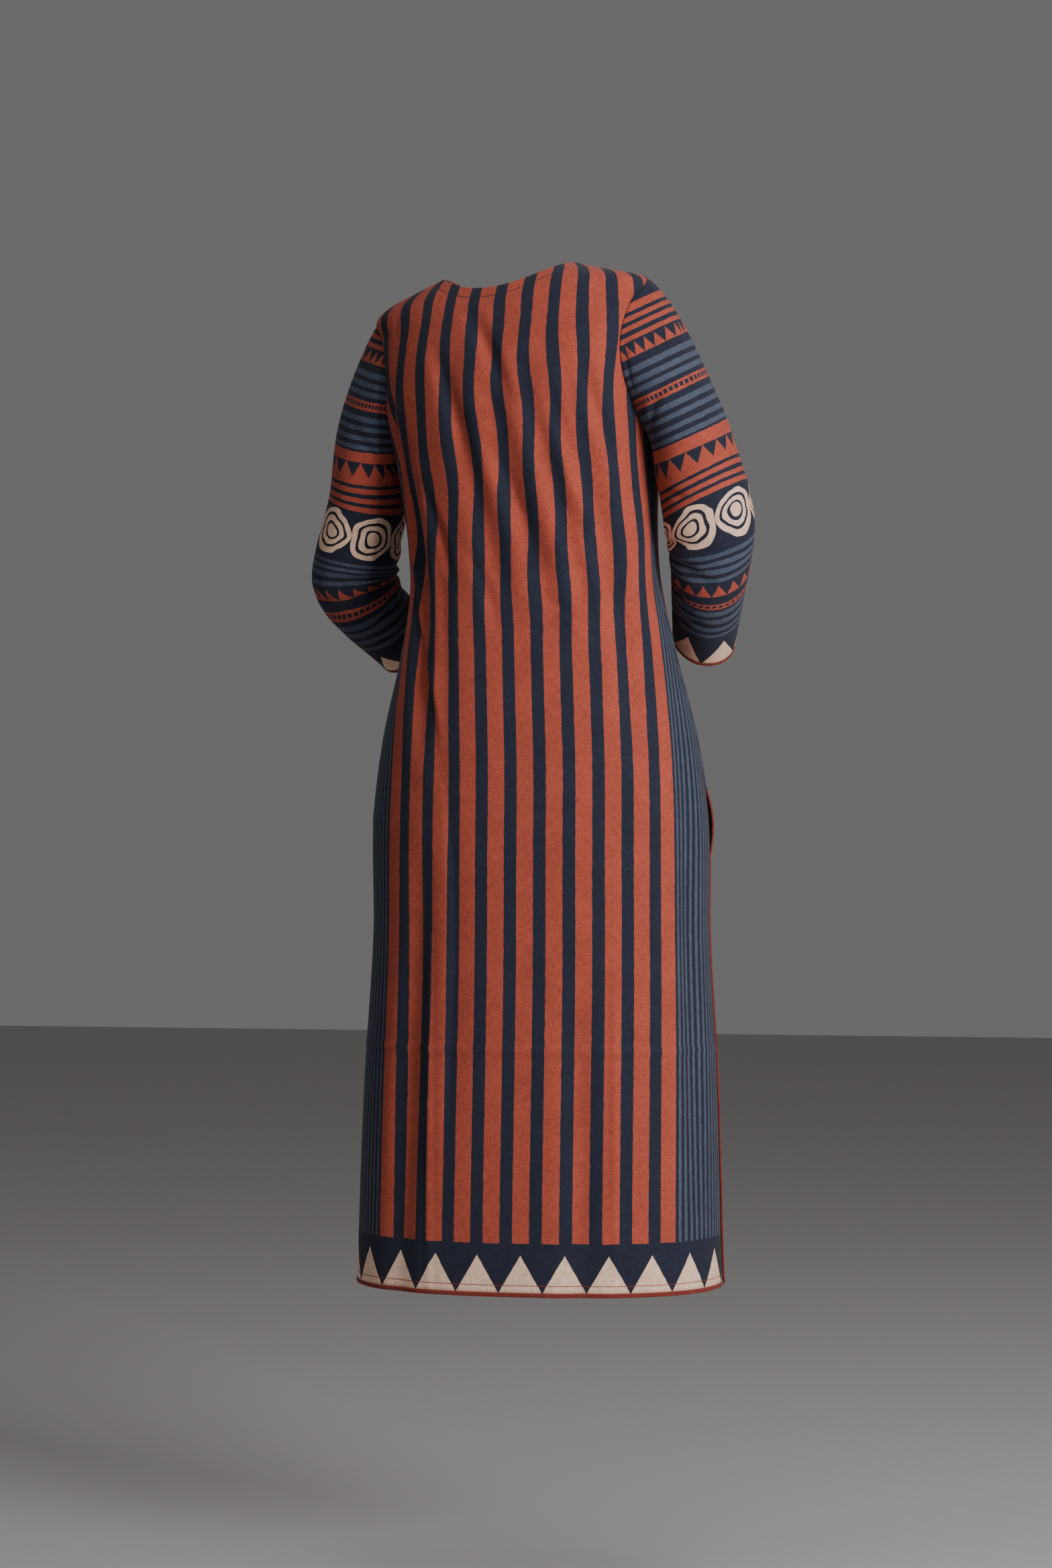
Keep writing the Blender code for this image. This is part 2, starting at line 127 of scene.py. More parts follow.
FRONT_FOLDS = (
    (0.130, -0.225, 0.150, -0.620, 0.0080, 0.021),
    (-0.128, -0.225, -0.150, -0.600, 0.0080, 0.021),
    (0.060, -0.290, 0.040, -0.640, 0.0050, 0.020),
    (-0.052, -0.290, -0.036, -0.620, 0.0050, 0.020),
    (0.090, -0.620, 0.120, -1.230, 0.0070, 0.026),
    (-0.100, -0.640, -0.124, -1.230, 0.0065, 0.026),
    (0.004, -0.560, 0.000, -1.230, 0.0050, 0.026),
)
BUST_ACROSS = 0.078
BUST_HEIGHT = -0.228
BUST_RISE = 0.012
BUST_SPREAD = 0.052
SLIT_FLARE = 0.0045
SLIT_FLARE_LENGTH = 0.080

# Finer creases of the cloth: a line on the cloth between two places, bowed sideways, and how deep and
# wide it is. A negative depth is a ridge. On the panels along is the height, on the sleeves the way
# down from the shoulder.
CREASE_COLUMNS = ("across", "along", "end_across", "end_along", "bow", "depth", "half_width")
BACK_CREASES = (
    (0.030, -0.040, -0.030, -0.170, 0.004, 0.0044, 0.011),
    (0.075, -0.070, 0.030, -0.220, 0.005, 0.0036, 0.011),
    (0.012, -0.180, -0.024, -0.335, 0.005, 0.0048, 0.012),
    (-0.105, -0.100, -0.142, -0.250, -0.003, 0.0044, 0.011),
    (-0.060, -0.120, -0.098, -0.290, 0.003, 0.0040, 0.012),
    (-0.074, -0.270, -0.110, -0.400, 0.004, 0.0038, 0.011),
    (0.098, -0.230, 0.074, -0.360, 0.005, 0.0030, 0.008),
    (0.050, -0.310, 0.020, -0.430, 0.004, 0.0028, 0.010),
    (-0.010, -0.360, -0.090, -0.420, 0.004, 0.0018, 0.007),
    (0.109, -0.700, 0.103, -1.180, 0.000, -0.0024, 0.0040),
    (-0.100, -0.720, -0.106, -1.180, 0.000, -0.0024, 0.0040),
    (0.300, -0.868, -0.300, -0.872, 0.000, -0.0022, 0.0052),
)
FRONT_CREASES = (
    (0.100, -0.240, 0.050, -0.380, 0.006, 0.0030, 0.010),
    (-0.096, -0.250, -0.050, -0.390, -0.006, 0.0030, 0.010),
    (0.080, -0.340, 0.020, -0.430, 0.004, 0.0022, 0.009),
    (-0.085, -0.350, -0.020, -0.440, -0.004, 0.0022, 0.009),
    (0.050, -0.060, 0.085, -0.180, 0.004, 0.0024, 0.010),
    (-0.050, -0.060, -0.085, -0.180, -0.004, 0.0024, 0.010),
)
SLEEVE_CREASES = (
    (0.070, 0.030, 0.130, 0.120, 0.006, 0.0035, 0.010),
    (0.060, 0.120, 0.120, 0.170, 0.004, 0.0030, 0.009),
    (-0.080, 0.020, -0.150, 0.110, -0.006, 0.0035, 0.010),
    (-0.060, 0.270, 0.000, 0.310, 0.006, 0.0030, 0.008),
    (0.145, 0.302, 0.060, 0.318, 0.004, 0.0055, 0.0065),
    (0.145, 0.330, 0.050, 0.352, -0.006, 0.0050, 0.0065),
    (0.140, 0.352, 0.075, 0.384, 0.004, 0.0040, 0.0070),
    (0.078, 0.268, 0.122, 0.238, 0.002, 0.0034, 0.0050),
    (0.020, 0.330, 0.075, 0.338, 0.003, 0.0030, 0.0070),
    (0.050, 0.395, 0.120, 0.430, 0.004, 0.0026, 0.0080),
)

# Centre line of a sleeve and its half sizes, from the first full ring below the armhole to the cuff.
# Out is away from the body, back is along +Y.
SLEEVE_COLUMNS = ("out", "back", "height", "half_width", "half_depth")
SLEEVE_ROWS = (
    (0.1925, -0.010, -0.206, 0.0425, 0.0560),
    (0.1970, -0.016, -0.232, 0.0445, 0.0555),
    (0.2045, -0.022, -0.262, 0.0465, 0.0545),
    (0.2115, -0.027, -0.291, 0.0485, 0.0530),
    (0.2160, -0.033, -0.318, 0.0485, 0.0510),
    (0.2130, -0.045, -0.341, 0.0455, 0.0475),
    (0.2045, -0.066, -0.364, 0.0415, 0.0435),
    (0.1935, -0.094, -0.388, 0.0380, 0.0400),
    (0.1820, -0.125, -0.413, 0.0350, 0.0370),
)
BAND_TILT = 0.13
HEAD_PULL = 0.65
ELBOW_STEP = 0.46
ELBOW_SPREAD = 0.21
ELBOW_FOLD = 0.0038
ELBOW_FOLDS = 3.0
FOREARM_SAG = 0.0028
SLEEVE_LENGTH = 0.470

# Steps of the grids
NECK_STEPS = 38
NECK_EVENNESS = 0.22
SHOULDER_STEPS = 36
LOWER_STEPS = 228
LOWER_CROWDING = 1.12
ARMHOLE_STEPS = 54
HEAD_STEPS = 34
TUBE_STEPS = 90
RING_STEPS = 180
BINDING_SIDES = 12

# Each panel's own sizes
PANELS = {
    "back": {
        "side": 1,
        "folds": BACK_FOLDS,
        "creases": BACK_CREASES,
        "neck_drop": 0.025,
        "roundness": 1.0,
        "armhole_depth": 0.058,
        "lapped": True,
    },
    "front": {
        "side": -1,
        "folds": FRONT_FOLDS,
        "creases": FRONT_CREASES,
        "neck_drop": 0.095,
        "roundness": 0.62,
        "armhole_depth": 0.050,
        "lapped": False,
    },
}

# Bands of the sleeve's print: where each starts on the way down from the shoulder tip, in millimetres
BANDS = (
    (0.0, "navy"), (11.0, "rust"), (20.4, "navy"), (24.3, "rust"), (30.2, "navy"), (34.4, "rust"),
    (40.2, "navy"), (45.0, "rust"), (51.2, "navy"), (78.0, "line"), (84.7, "navy"), (90.1, "line"),
    (96.6, "navy"), (101.4, "line"), (107.6, "navy"), (112.7, "rust"), (123.9, "navy"), (130.9, "line"),
    (137.2, "navy"), (142.5, "line"), (148.2, "navy"), (153.7, "line"), (159.6, "navy"), (165.1, "line"),
    (170.6, "navy"), (173.2, "rust"), (212.3, "navy"), (216.3, "rust"), (221.6, "navy"),
    (226.2, "rust"), (231.6, "navy"), (235.5, "rust"), (240.7, "navy"), (307.9, "line"), (313.9, "navy"),
    (318.4, "line"), (324.0, "navy"), (328.3, "line"), (334.8, "navy"), (340.2, "line"), (345.8, "navy"),
    (376.0, "rust"), (387.4, "navy"), (392.0, "line"), (397.0, "navy"), (401.5, "line"), (406.5, "navy"),
    (411.0, "line"), (416.0, "navy"), (420.5, "line"), (425.5, "navy"),
)
BAND_HALVES = (0.0, 230.0, 470.0)

# Way down a sleeve as worn, and the place of the print there, in millimetres: the creases take some up
SLEEVES = {
    "right": {
        "side": -1,
        "phase": 0.0,
        "worn": (0, 62, 127, 192, 240, 275, 303, 325, 348, 360, 369, 376, 380, 421, 432, 470),
        "printed": (-8, 51, 113, 173, 212, 241, 274, 308, 346, 362, 376, 387, 392, 425, 443, 470),
    },
    "left": {
        "side": 1,
        "phase": 23.4,
        "worn": (0, 91, 154, 194, 228, 261, 294, 301, 319, 333, 346, 357, 418, 436, 470),
        "printed": (20, 113, 173, 212, 241, 274, 308, 318, 346, 362, 376, 387, 425, 443, 470),
    },
}

# Stripes of the panels
STRIPE_SHARE = 0.285
STRIPE_REACH = 5.79
LINE_PITCH = 0.0085
LINE_SHARE = 0.235
BORDER_HEIGHT = 0.0545
TRIANGLE_HEIGHT = 0.0415
# How far the print stands to the wearer's right of the centre line at each height of the back
DRIFT_ROWS = (
    (0.030, 0.030), (-0.024, 0.030), (-0.055, 0.029), (-0.116, 0.0266), (-0.176, 0.0258), (-0.237, 0.022),
    (-0.298, 0.0152), (-0.359, 0.0076), (-0.420, 0.0038), (-0.541, 0.0046), (-0.678, 0.0023),
    (-0.830, 0.0019), (-1.135, 0.0015),
)
# The fold where the back laps over itself on the wearer's left: how far round its edge lies, how far it
# stands out, and how many stripes it has swallowed there
LAP_COLUMNS = ("height", "across", "rise", "swallowed")
LAP_ROWS = (
    (0.030, 0.124, 0.0, 0.0), (-0.100, 0.124, 0.0, 0.0), (-0.140, 0.124, 0.0022, 0.35),
    (-0.162, 0.126, 0.0034, 0.62), (-0.205, 0.128, 0.0044, 0.95), (-0.258, 0.137, 0.0050, 1.0),
    (-0.301, 0.140, 0.0050, 1.0), (-0.336, 0.137, 0.0050, 1.0), (-0.400, 0.1285, 0.0046, 1.0),
    (-0.442, 0.116, 0.0040, 1.0), (-0.490, 0.100, 0.0026, 1.0), (-0.560, 0.090, 0.0, 1.0),
    (-1.135, 0.090, 0.0, 1.0),
)
FRONT_DRIFT = 0.0166
NECK_STITCH = 0.0105
HEM_STITCH = 0.0085
STITCH_SINK = 0.0005
SLIT_TUCK = 0.0032
LAP_REACH = 0.030
LAP_EDGE = 0.0045

# Rows of triangles on the sleeve, in millimetres
TRIANGLE_COLUMNS = ("tip", "base", "pitch", "shift", "colour")
SLEEVE_TRIANGLES = (
    (53.0, 68.5, 15.6, 0.0, "rust"),
    (204.0, 186.2, 20.0, 0.0, "navy"),
    (349.5, 362.5, 17.5, 0.0, "rust"),
    (443.0, 471.0, 43.0, 9.0, "cream"),
)
DOT_ROWS = (118.3, 381.7)
DOT_PITCH = 7.6
DOT_HALF = 2.45
RING_ROW = 273.5
RING_PITCH = 55.0
# Edges of the rings in one another, from the middle out, in millimetres
RING_EDGES = ((0.0, 1.0), (7.9, 0.0), (11.2, 1.0), (17.4, 0.0), (20.9, 1.0), (27.3, 0.0))
RING_TALLER = 1.05
RING_REACH = 30.0


def linear(hex_colour):
    """An sRGB hex colour as linear red, green, blue and alpha."""
    parts = [int(hex_colour[k : k + 2], 16) / 255 for k in (1, 3, 5)]
    return tuple(p / 12.92 if p <= 0.04045 else ((p + 0.055) / 1.055) ** 2.4 for p in parts) + (1.0,)


class KurtiCut(bpy.types.PropertyGroup):
    """Sizes of the cloth and of its bound edges."""

    cloth: bpy.props.FloatProperty(
        name="Cloth", description="Thickness of the cotton", default=0.0010, unit="LENGTH"
    )
    fold_strength: bpy.props.FloatProperty(
        name="Fold strength", description="Depth of the finer creases, as a share", default=1.0, subtype="FACTOR"
    )
    seam_depth: bpy.props.FloatProperty(
        name="Seam depth", description="How far a pressed seam sinks in", default=0.0009, unit="LENGTH"
    )
    binding_width: bpy.props.FloatProperty(
        name="Binding width", description="Height of the bound edge that shows", default=0.0050, unit="LENGTH"
    )
    binding_thickness: bpy.props.FloatProperty(
        name="Binding thickness", description="Thickness of the bound edge", default=0.0026, unit="LENGTH"
    )


class KurtiPrint(bpy.types.PropertyGroup):
    """Colours and pitches of the print."""

    rust: bpy.props.FloatVectorProperty(
        name="Rust", description="Brick red dye", subtype="COLOR", size=4, default=linear("#A34838")
    )
    navy: bpy.props.FloatVectorProperty(
        name="Navy", description="Dark indigo dye", subtype="COLOR", size=4, default=linear("#212434")
    )
    line: bpy.props.FloatVectorProperty(
        name="Line", description="Blue-grey dye", subtype="COLOR", size=4, default=linear("#464D5D")
    )
    cream: bpy.props.FloatVectorProperty(
        name="Cream", description="Undyed cotton", subtype="COLOR", size=4, default=linear("#E6BFA6")
    )
    binding: bpy.props.FloatVectorProperty(
        name="Binding", description="Dark red bias tape", subtype="COLOR", size=4, default=linear("#7A2E26")
    )
    stripe_pitch: bpy.props.FloatProperty(
        name="Stripe pitch", description="From one stripe to the next at the hem", default=0.0331, unit="LENGTH"
    )
    stripe_closing: bpy.props.FloatProperty(
        name="Stripe closing", description="Pitch lost with each metre of height", default=0.0015, subtype="FACTOR"
    )
    triangle_pitch: bpy.props.FloatProperty(
        name="Triangle pitch", description="From one hem triangle to the next", default=0.0486, unit="LENGTH"
    )


class KurtiStudio(bpy.types.PropertyGroup):
    """Light and backdrop."""

    key_power: bpy.props.FloatProperty(
        name="Key light", description="Soft light from the right of the camera", default=101.0, unit="POWER"
    )
    fill_power: bpy.props.FloatProperty(
        name="Fill light", description="Weak light from the left of the camera", default=6.0, unit="POWER"
    )
    air: bpy.props.FloatProperty(
        name="Air", description="Light that comes from all round", default=0.38, subtype="FACTOR"
    )


def read_table(rows, column, height):
    """One column of a table at any height: a cubic through its rows, with the slopes of its neighbours."""
    table = np.array(rows)[::-1]
    knots, values = table[:, 0], table[:, column]
    slopes = np.gradient(values, knots)
    place = np.clip(np.searchsorted(knots, height) - 1, 0, len(knots) - 2)
    span = knots[place + 1] - knots[place]
    t = np.clip((height - knots[place]) / span, 0.0, 1.0)
    rise = values[place + 1] - values[place]
    start, end = slopes[place] * span, slopes[place + 1] * span
    return values[place] + start * t + (3 * rise - 2 * start - end) * t**2 + (start + end - 2 * rise) * t**3


def smooth_step(low, high, value):
    """0 below low, 1 above high, and an S between them: 3t² - 2t³."""
    t = np.clip((value - low) / (high - low), 0.0, 1.0)
    return t * t * (3 - 2 * t)


def unit(vectors):
    """These vectors at length 1."""
    return vectors / np.maximum(np.linalg.norm(vectors, axis=-1, keepdims=True), 1e-12)


def shoulder_height(across):
    """Height of the shoulder seam that far from the centre line: where the body's rings are that wide."""
    heights = np.linspace(0.0, -SHOULDER_DROP, 57)
    return np.interp(np.abs(across), read_table(BODY_ROWS, 1, heights), heights)


def neckline_height(across, drop, roundness):
    """Height of the neckline: -drop · (1 - (across / half the neck)²) to the power roundness."""
    return -drop * (1.0 - np.clip(np.abs(across) / NECK_HALF, 0.0, 1.0) ** 2) ** roundness


def armhole_inset(height, deepest):
    """How far the armhole's edge stands from the side seam, front to back: half an oval."""
    middle = (UNDERARM - SHOULDER_DROP) / 2
    half = (-SHOULDER_DROP - UNDERARM) / 2
    share = np.clip((height - middle) / half, -1.0, 1.0)
    inset = deepest * (1.0 - share**2) ** ARMHOLE_FULLNESS
    return np.where((height > UNDERARM) & (height < -SHOULDER_DROP), inset, 0.0)


def cross_shares():
    """Shares of the half panel, centre to side: close to even angles on the neckline, so that its columns
    crowd towards the neck point but never meet, then even on the shoulder."""
    even = np.linspace(0.0, 1.0, NECK_STEPS + 1)
    crowded = np.sin(even * HALF_TURN / 2)
    neck = NECK_HALF / SHOULDER_HALF * (crowded + NECK_EVENNESS * (even - crowded))
    shoulder = np.linspace(NECK_HALF / SHOULDER_HALF, 1.0, SHOULDER_STEPS + 1)[1:]
    half = np.concatenate([neck, shoulder])
    return np.concatenate([-half[:0:-1], half])


def ring_lengths(half_width, depth):
    """Lengths along a quarter of each ring at even angles, for whole arrays of rings. A ring's half width
    goes with the sine and its depth with the cosine of the angle, to the power 2 / RING_POWER."""
    angle = np.linspace(0.0, HALF_TURN / 2, RING_STEPS + 1)
    x = half_width[..., None] * np.sin(angle) ** (2 / RING_POWER)
    y = depth[..., None] * np.cos(angle).clip(0) ** (2 / RING_POWER)
    steps = np.hypot(np.diff(x, axis=-1), np.diff(y, axis=-1))
    return np.concatenate([np.zeros(steps.shape[:-1] + (1,)), np.cumsum(steps, axis=-1)], axis=-1)


def length_at(lengths, angle):
    """Length along the ring at an angle."""
    place = angle / (HALF_TURN / 2) * RING_STEPS
    low = np.clip(place.astype(int), 0, RING_STEPS - 1)
    before = np.take_along_axis(lengths, low[..., None], -1)[..., 0]
    after = np.take_along_axis(lengths, low[..., None] + 1, -1)[..., 0]
    return before + (after - before) * (place - low)


def angle_at(lengths, length):
    """Angle at a length along the ring."""
    low = np.clip((lengths < length[..., None]).sum(axis=-1) - 1, 0, RING_STEPS - 1)
    before = np.take_along_axis(lengths, low[..., None], -1)[..., 0]
    after = np.take_along_axis(lengths, low[..., None] + 1, -1)[..., 0]
    share = np.clip((length - before) / (after - before), 0.0, 1.0)
    return (low + share) / RING_STEPS * HALF_TURN / 2


def panel_form(panel):
    """Plain form of a panel, without folds, and the height of its top edge over each column. Two
    parameters: share across, from side to side, and row, from the hem up."""
    side, deepest = panel["side"], panel["armhole_depth"]
    shares = cross_shares()
    top_across = shares * SHOULDER_HALF
    on_neck = np.abs(top_across) < NECK_HALF
    neckline = neckline_height(top_across, panel["neck_drop"], panel["roundness"])
    tops = np.where(on_neck, neckline, shoulder_height(top_across))
    down = np.linspace(1.0, 0.0, LOWER_STEPS + 1) ** LOWER_CROWDING
    lower = np.repeat((UNDERARM + (HEM - UNDERARM) * down)[:, None], len(shares), axis=1)
    turn = np.linspace(0.0, HALF_TURN, ARMHOLE_STEPS + 1)[1:, None]
    height = np.concatenate([lower, UNDERARM + (tops - UNDERARM) * (1.0 - np.cos(turn)) / 2])
    share = np.abs(np.broadcast_to(shares, height.shape))
    half_width = read_table(BODY_ROWS, BODY_COLUMNS.index("half_width"), height)
    depth = read_table(BODY_ROWS, BODY_COLUMNS.index("back_depth" if side > 0 else "front_depth"), height)
    inset = armhole_inset(height, deepest)
    edge_angle = np.arccos(np.minimum(inset / depth, 1.0) ** (RING_POWER / 2))
    edge_across = half_width * np.sin(edge_angle) ** (2 / RING_POWER)
    edge_across = np.where(height > -SHOULDER_DROP, SHOULDER_HALF, edge_across)
    opening = SLIT_GAP_TOP + (SLIT_GAP_HEM - SLIT_GAP_TOP) * (SLIT_TOP - height) / (SLIT_TOP - HEM)
    gap = np.where(height < SLIT_TOP, opening, 0.0)
    lengths = ring_lengths(half_width, depth)
    taken = lengths[..., -1] - length_at(lengths, edge_angle)
    by_arc = angle_at(lengths, share * (lengths[..., -1] - gap) - taken * share**2.5)
    by_grain = np.arcsin(np.minimum(share * edge_across / half_width, 1.0) ** (RING_POWER / 2))
    blend = smooth_step(UNDERARM - 0.02, GRAIN_LEVEL, height)
    angle = by_arc * (1.0 - blend) + by_grain * blend
    x = np.sign(shares)[None, :] * half_width * np.sin(angle) ** (2 / RING_POWER)
    y = side * depth * np.cos(angle).clip(0) ** (2 / RING_POWER)
    x[-1] = np.where(on_neck, x[-1], top_across)
    y[-1] = np.where(on_neck, y[-1], 0.0)
    return np.stack([x, y, height], axis=-1), tops


def signed_arc(points):
    """Distance of each point from its panel's centre line, along its row."""
    steps = np.linalg.norm(np.diff(points[..., :2], axis=1), axis=2)
    run = np.concatenate([np.zeros((len(points), 1)), np.cumsum(steps, axis=1)], axis=1)
    return run - run[:, points.shape[1] // 2][:, None]


def fold_depths(folds, across, height):
    """Sum of the folds: depth · (1 - 1.1 off²) · e^(-off²), a trough with a low ridge on each side, fading
    at its two ends with the sine of the way along."""
    total = np.zeros_like(across)
    for top_across, top_height, end_across, end_height, depth, half_width in folds:
        along = (top_height - height) / (top_height - end_height)
        off = (across - top_across - (end_across - top_across) * along) / half_width
        fade = np.sin(HALF_TURN * np.clip(along, 0.0, 1.0)) ** 0.8
        total += depth * fade * (1.0 - 1.1 * off**2) * np.exp(-(off**2))
    return total


def crease_depths(creases, across, along):
    """Sum of the creases: across a bowed line depth · (1 - 0.8 off²) · e^(-off²), fading at its ends."""
    total = np.zeros_like(across)
    for start, begin, end, finish, bow, depth, half_width in creases:
        way = np.array([end - start, finish - begin])
        length = np.hypot(*way)
        ahead = ((across - start) * way[0] + (along - begin) * way[1]) / length**2
        beside = ((across - start) * way[1] - (along - begin) * way[0]) / length
        t = np.clip(ahead, 0.0, 1.0)
        off = (beside - bow * np.sin(HALF_TURN * t)) / half_width
        total += depth * np.sin(HALF_TURN * t) * (1.0 - 0.8 * off**2) * np.exp(-(off**2))
    return total


def lap_form(across, height):
    """The back's lapped fold: it rises with a square towards its edge and drops past it within a few
    millimetres. Gives its rise, the distance past its edge, and the stripes swallowed."""
    edge, rise, swallowed = (read_table(LAP_ROWS, column, height) for column in (1, 2, 3))
    past = across - edge
    climb = np.clip(1.0 + past / LAP_REACH, 0.0, 1.0) ** 2 * (past < 0)
    drop = (1.0 - 1.35 * smooth_step(0.0, LAP_EDGE, past)) * (past >= 0)
    fade = 1.0 - smooth_step(0.010, 0.032, past)
    return rise * (climb + drop * fade), past, swallowed


def pulled(across, height):
    """How far the drags over the upper back pull the print sideways: two slow slanting waves that die out
    below the waist."""
    slow = 0.0020 * np.sin(2 * HALF_TURN * (height / 0.24 + across / 0.30 + 0.1))
    quick = 0.0013 * np.sin(2 * HALF_TURN * (height / 0.115 + across / 0.16))
    return (slow + quick) * smooth_step(-0.46, -0.30, height) * smooth_step(0.0, -0.05, height)


def bust_rise(across, height):
    """Fullness that the front is cut with: two low round swells, rise · e^(-off²)."""
    swell = np.zeros_like(across)
    for side in (-1, 1):
        off = np.hypot(across - side * BUST_ACROSS, height - BUST_HEIGHT) / BUST_SPREAD
        swell += BUST_RISE * np.exp(-(off**2))
    return swell


def slit_flare(shares, height):
    """The front's slit edges stand out a little just below the top of the slits."""
    share = np.clip((SLIT_TOP - height) / SLIT_FLARE_LENGTH, 0.0, 1.0)
    return SLIT_FLARE * np.sin(HALF_TURN * share) * smooth_step(0.82, 1.0, np.abs(shares))


def grid_normals(points):
    """Unit normals of a grid from its rows and columns."""
    return unit(np.cross(np.gradient(points, axis=1), np.gradient(points, axis=0)))


def ring_normals(points, side):
    """Outward normals of a panel, level with the seams where the two panels meet."""
    normals = grid_normals(points) * -side
    below_arms = slice(0, LOWER_STEPS + 1)
    normals[below_arms, 0, 1] = 0.0
    normals[below_arms, -1, 1] = 0.0
    on_shoulder = np.abs(cross_shares()) * SHOULDER_HALF >= NECK_HALF - 1e-9
    normals[-1, on_shoulder, 1] = 0.0
    return unit(normals)


def seamed_normals(pair):
    """Outward normals of the worn back and front. Where the two are sewn together, at the shoulders and
    down the sides to the slits, both take the mean, so that their walls meet."""
    normals = {name: ring_normals(points, PANELS[name]["side"]) for name, (points, _) in pair.items()}
    mean = unit(normals["back"] + normals["front"])
    on_shoulder = np.abs(cross_shares()) * SHOULDER_HALF >= NECK_HALF - 1e-9
    sewn = np.zeros(mean.shape[:2], bool)
    sewn[-1, on_shoulder] = True
    rows = np.arange(len(mean)) <= LOWER_STEPS
    rows &= pair["back"][1]["cloth"][:, 0, 1] + HEM > SLIT_TOP
    sewn[rows, 0] = sewn[rows, -1] = True
    return {name: np.where(sewn[..., None], mean, own) for name, own in normals.items()}


def worn(points, rows=LEAN_ROWS):
    """The lean and turn of the worn form: each level turns about Z, shifts and tilts by the table."""
    height = points[..., 2]
    turn = np.radians(read_table(rows, 3, height))
    x, y = points[..., 0], points[..., 1]
    turned = np.stack([x * np.cos(turn) + y * np.sin(turn), y * np.cos(turn) - x * np.sin(turn)], axis=-1)
    turned[..., 0] -= read_table(rows, 1, height)
    lowered = height - read_table(rows, 2, height) * x
    return np.concatenate([turned, lowered[..., None]], axis=-1)


def panel_surface(panel, cut):
    """A panel with its folds, and its maps: the cloth's own metres, and metres from the neck or shoulder
    edge and from the side edge."""
    side = panel["side"]
    points, tops = panel_form(panel)
    across, height = points[..., 0], points[..., 2]
    arc = signed_arc(points)
    inwards = fold_depths(panel["folds"], arc, height)
    inwards += cut.fold_strength * crease_depths(panel["creases"], arc, height)
    to_edge = np.abs(arc[:, -1:]) - np.abs(arc)
    free = np.maximum(smooth_step(0.0, 0.030, to_edge), 1.0 - smooth_step(SLIT_TOP - 0.1, SLIT_TOP, height))
    drift, past, swallowed = np.full_like(arc, FRONT_DRIFT), np.full_like(arc, -1.0), np.zeros_like(arc)
    if panel["lapped"]:
        rise, past, swallowed = lap_form(arc, height)
        inwards -= cut.fold_strength * rise
        drift = read_table(DRIFT_ROWS, 1, height) + pulled(arc, height)
    inwards *= free * smooth_step(0.0, 0.03, tops[None, :] - height)
    if side < 0:
        inwards -= bust_rise(across, height) * smooth_step(0.0, 0.045, to_edge)
        inwards -= slit_flare(cross_shares()[None, :], height)
    sewn = (height > SLIT_TOP)[:, [0, -1]]
    inwards[:, [0, -1]] += cut.seam_depth * sewn
    from_top = np.where(np.abs(across) < NECK_HALF, tops[None, :] - height, 1.0)
    inwards += STITCH_SINK * np.exp(-(((from_top - NECK_STITCH) / 0.0016) ** 2))
    maps = {
        "cloth": np.stack([arc + drift, height - HEM], axis=-1),
        "edges": np.stack([from_top, to_edge], axis=-1),
        "lap": np.stack([past, swallowed], axis=-1),
    }
    points = points - ring_normals(points, side) * inwards[..., None]
    return points, maps


def armhole_loop(back, front, side):
    """Points round one armhole, from the shoulder tip down the back and up the front, with the body's
    own outward and towards-the-opening directions at each."""
    column = 0 if side < 0 else -1
    rows = slice(LOWER_STEPS, LOWER_STEPS + ARMHOLE_STEPS + 1)
    loop = np.concatenate([back[rows, column][::-1], front[rows, column][1:-1]])
    normals = np.concatenate(
        [ring_normals(back, 1)[rows, column][::-1], ring_normals(front, -1)[rows, column][1:-1]]
    )
    tangent = np.roll(loop, -1, axis=0) - np.roll(loop, 1, axis=0)
    opening = unit(np.cross(tangent, normals))
    return loop, normals, -opening if opening[0, 0] * side < 0 else opening


def head_directions(turn):
    """How the sleeve leaves the armhole: outwards over the shoulder, more downwards under the arm."""
    out = 0.60 + 0.05 * np.cos(turn)
    down = 0.74 - 0.02 * np.cos(turn)
    return unit(np.stack([out, 0.05 * np.sin(turn), -down], axis=1))


def elbow_creases(share, turn):
    """Height of the cloth's folds at the bend of the arm: strong inside it, none at the elbow's point."""
    inside = np.clip(-np.sin(turn + 0.35), 0.0, 1.0) ** 1.2
    near = np.exp(-(((share - ELBOW_STEP) / ELBOW_SPREAD) ** 2))
    wave = np.cos((share - ELBOW_STEP) / ELBOW_SPREAD * ELBOW_FOLDS * HALF_TURN)
    sag = FOREARM_SAG * np.sin(2 * turn + 0.6) * smooth_step(0.55, 0.8, share)
    return ELBOW_FOLD * inside * near * wave + sag


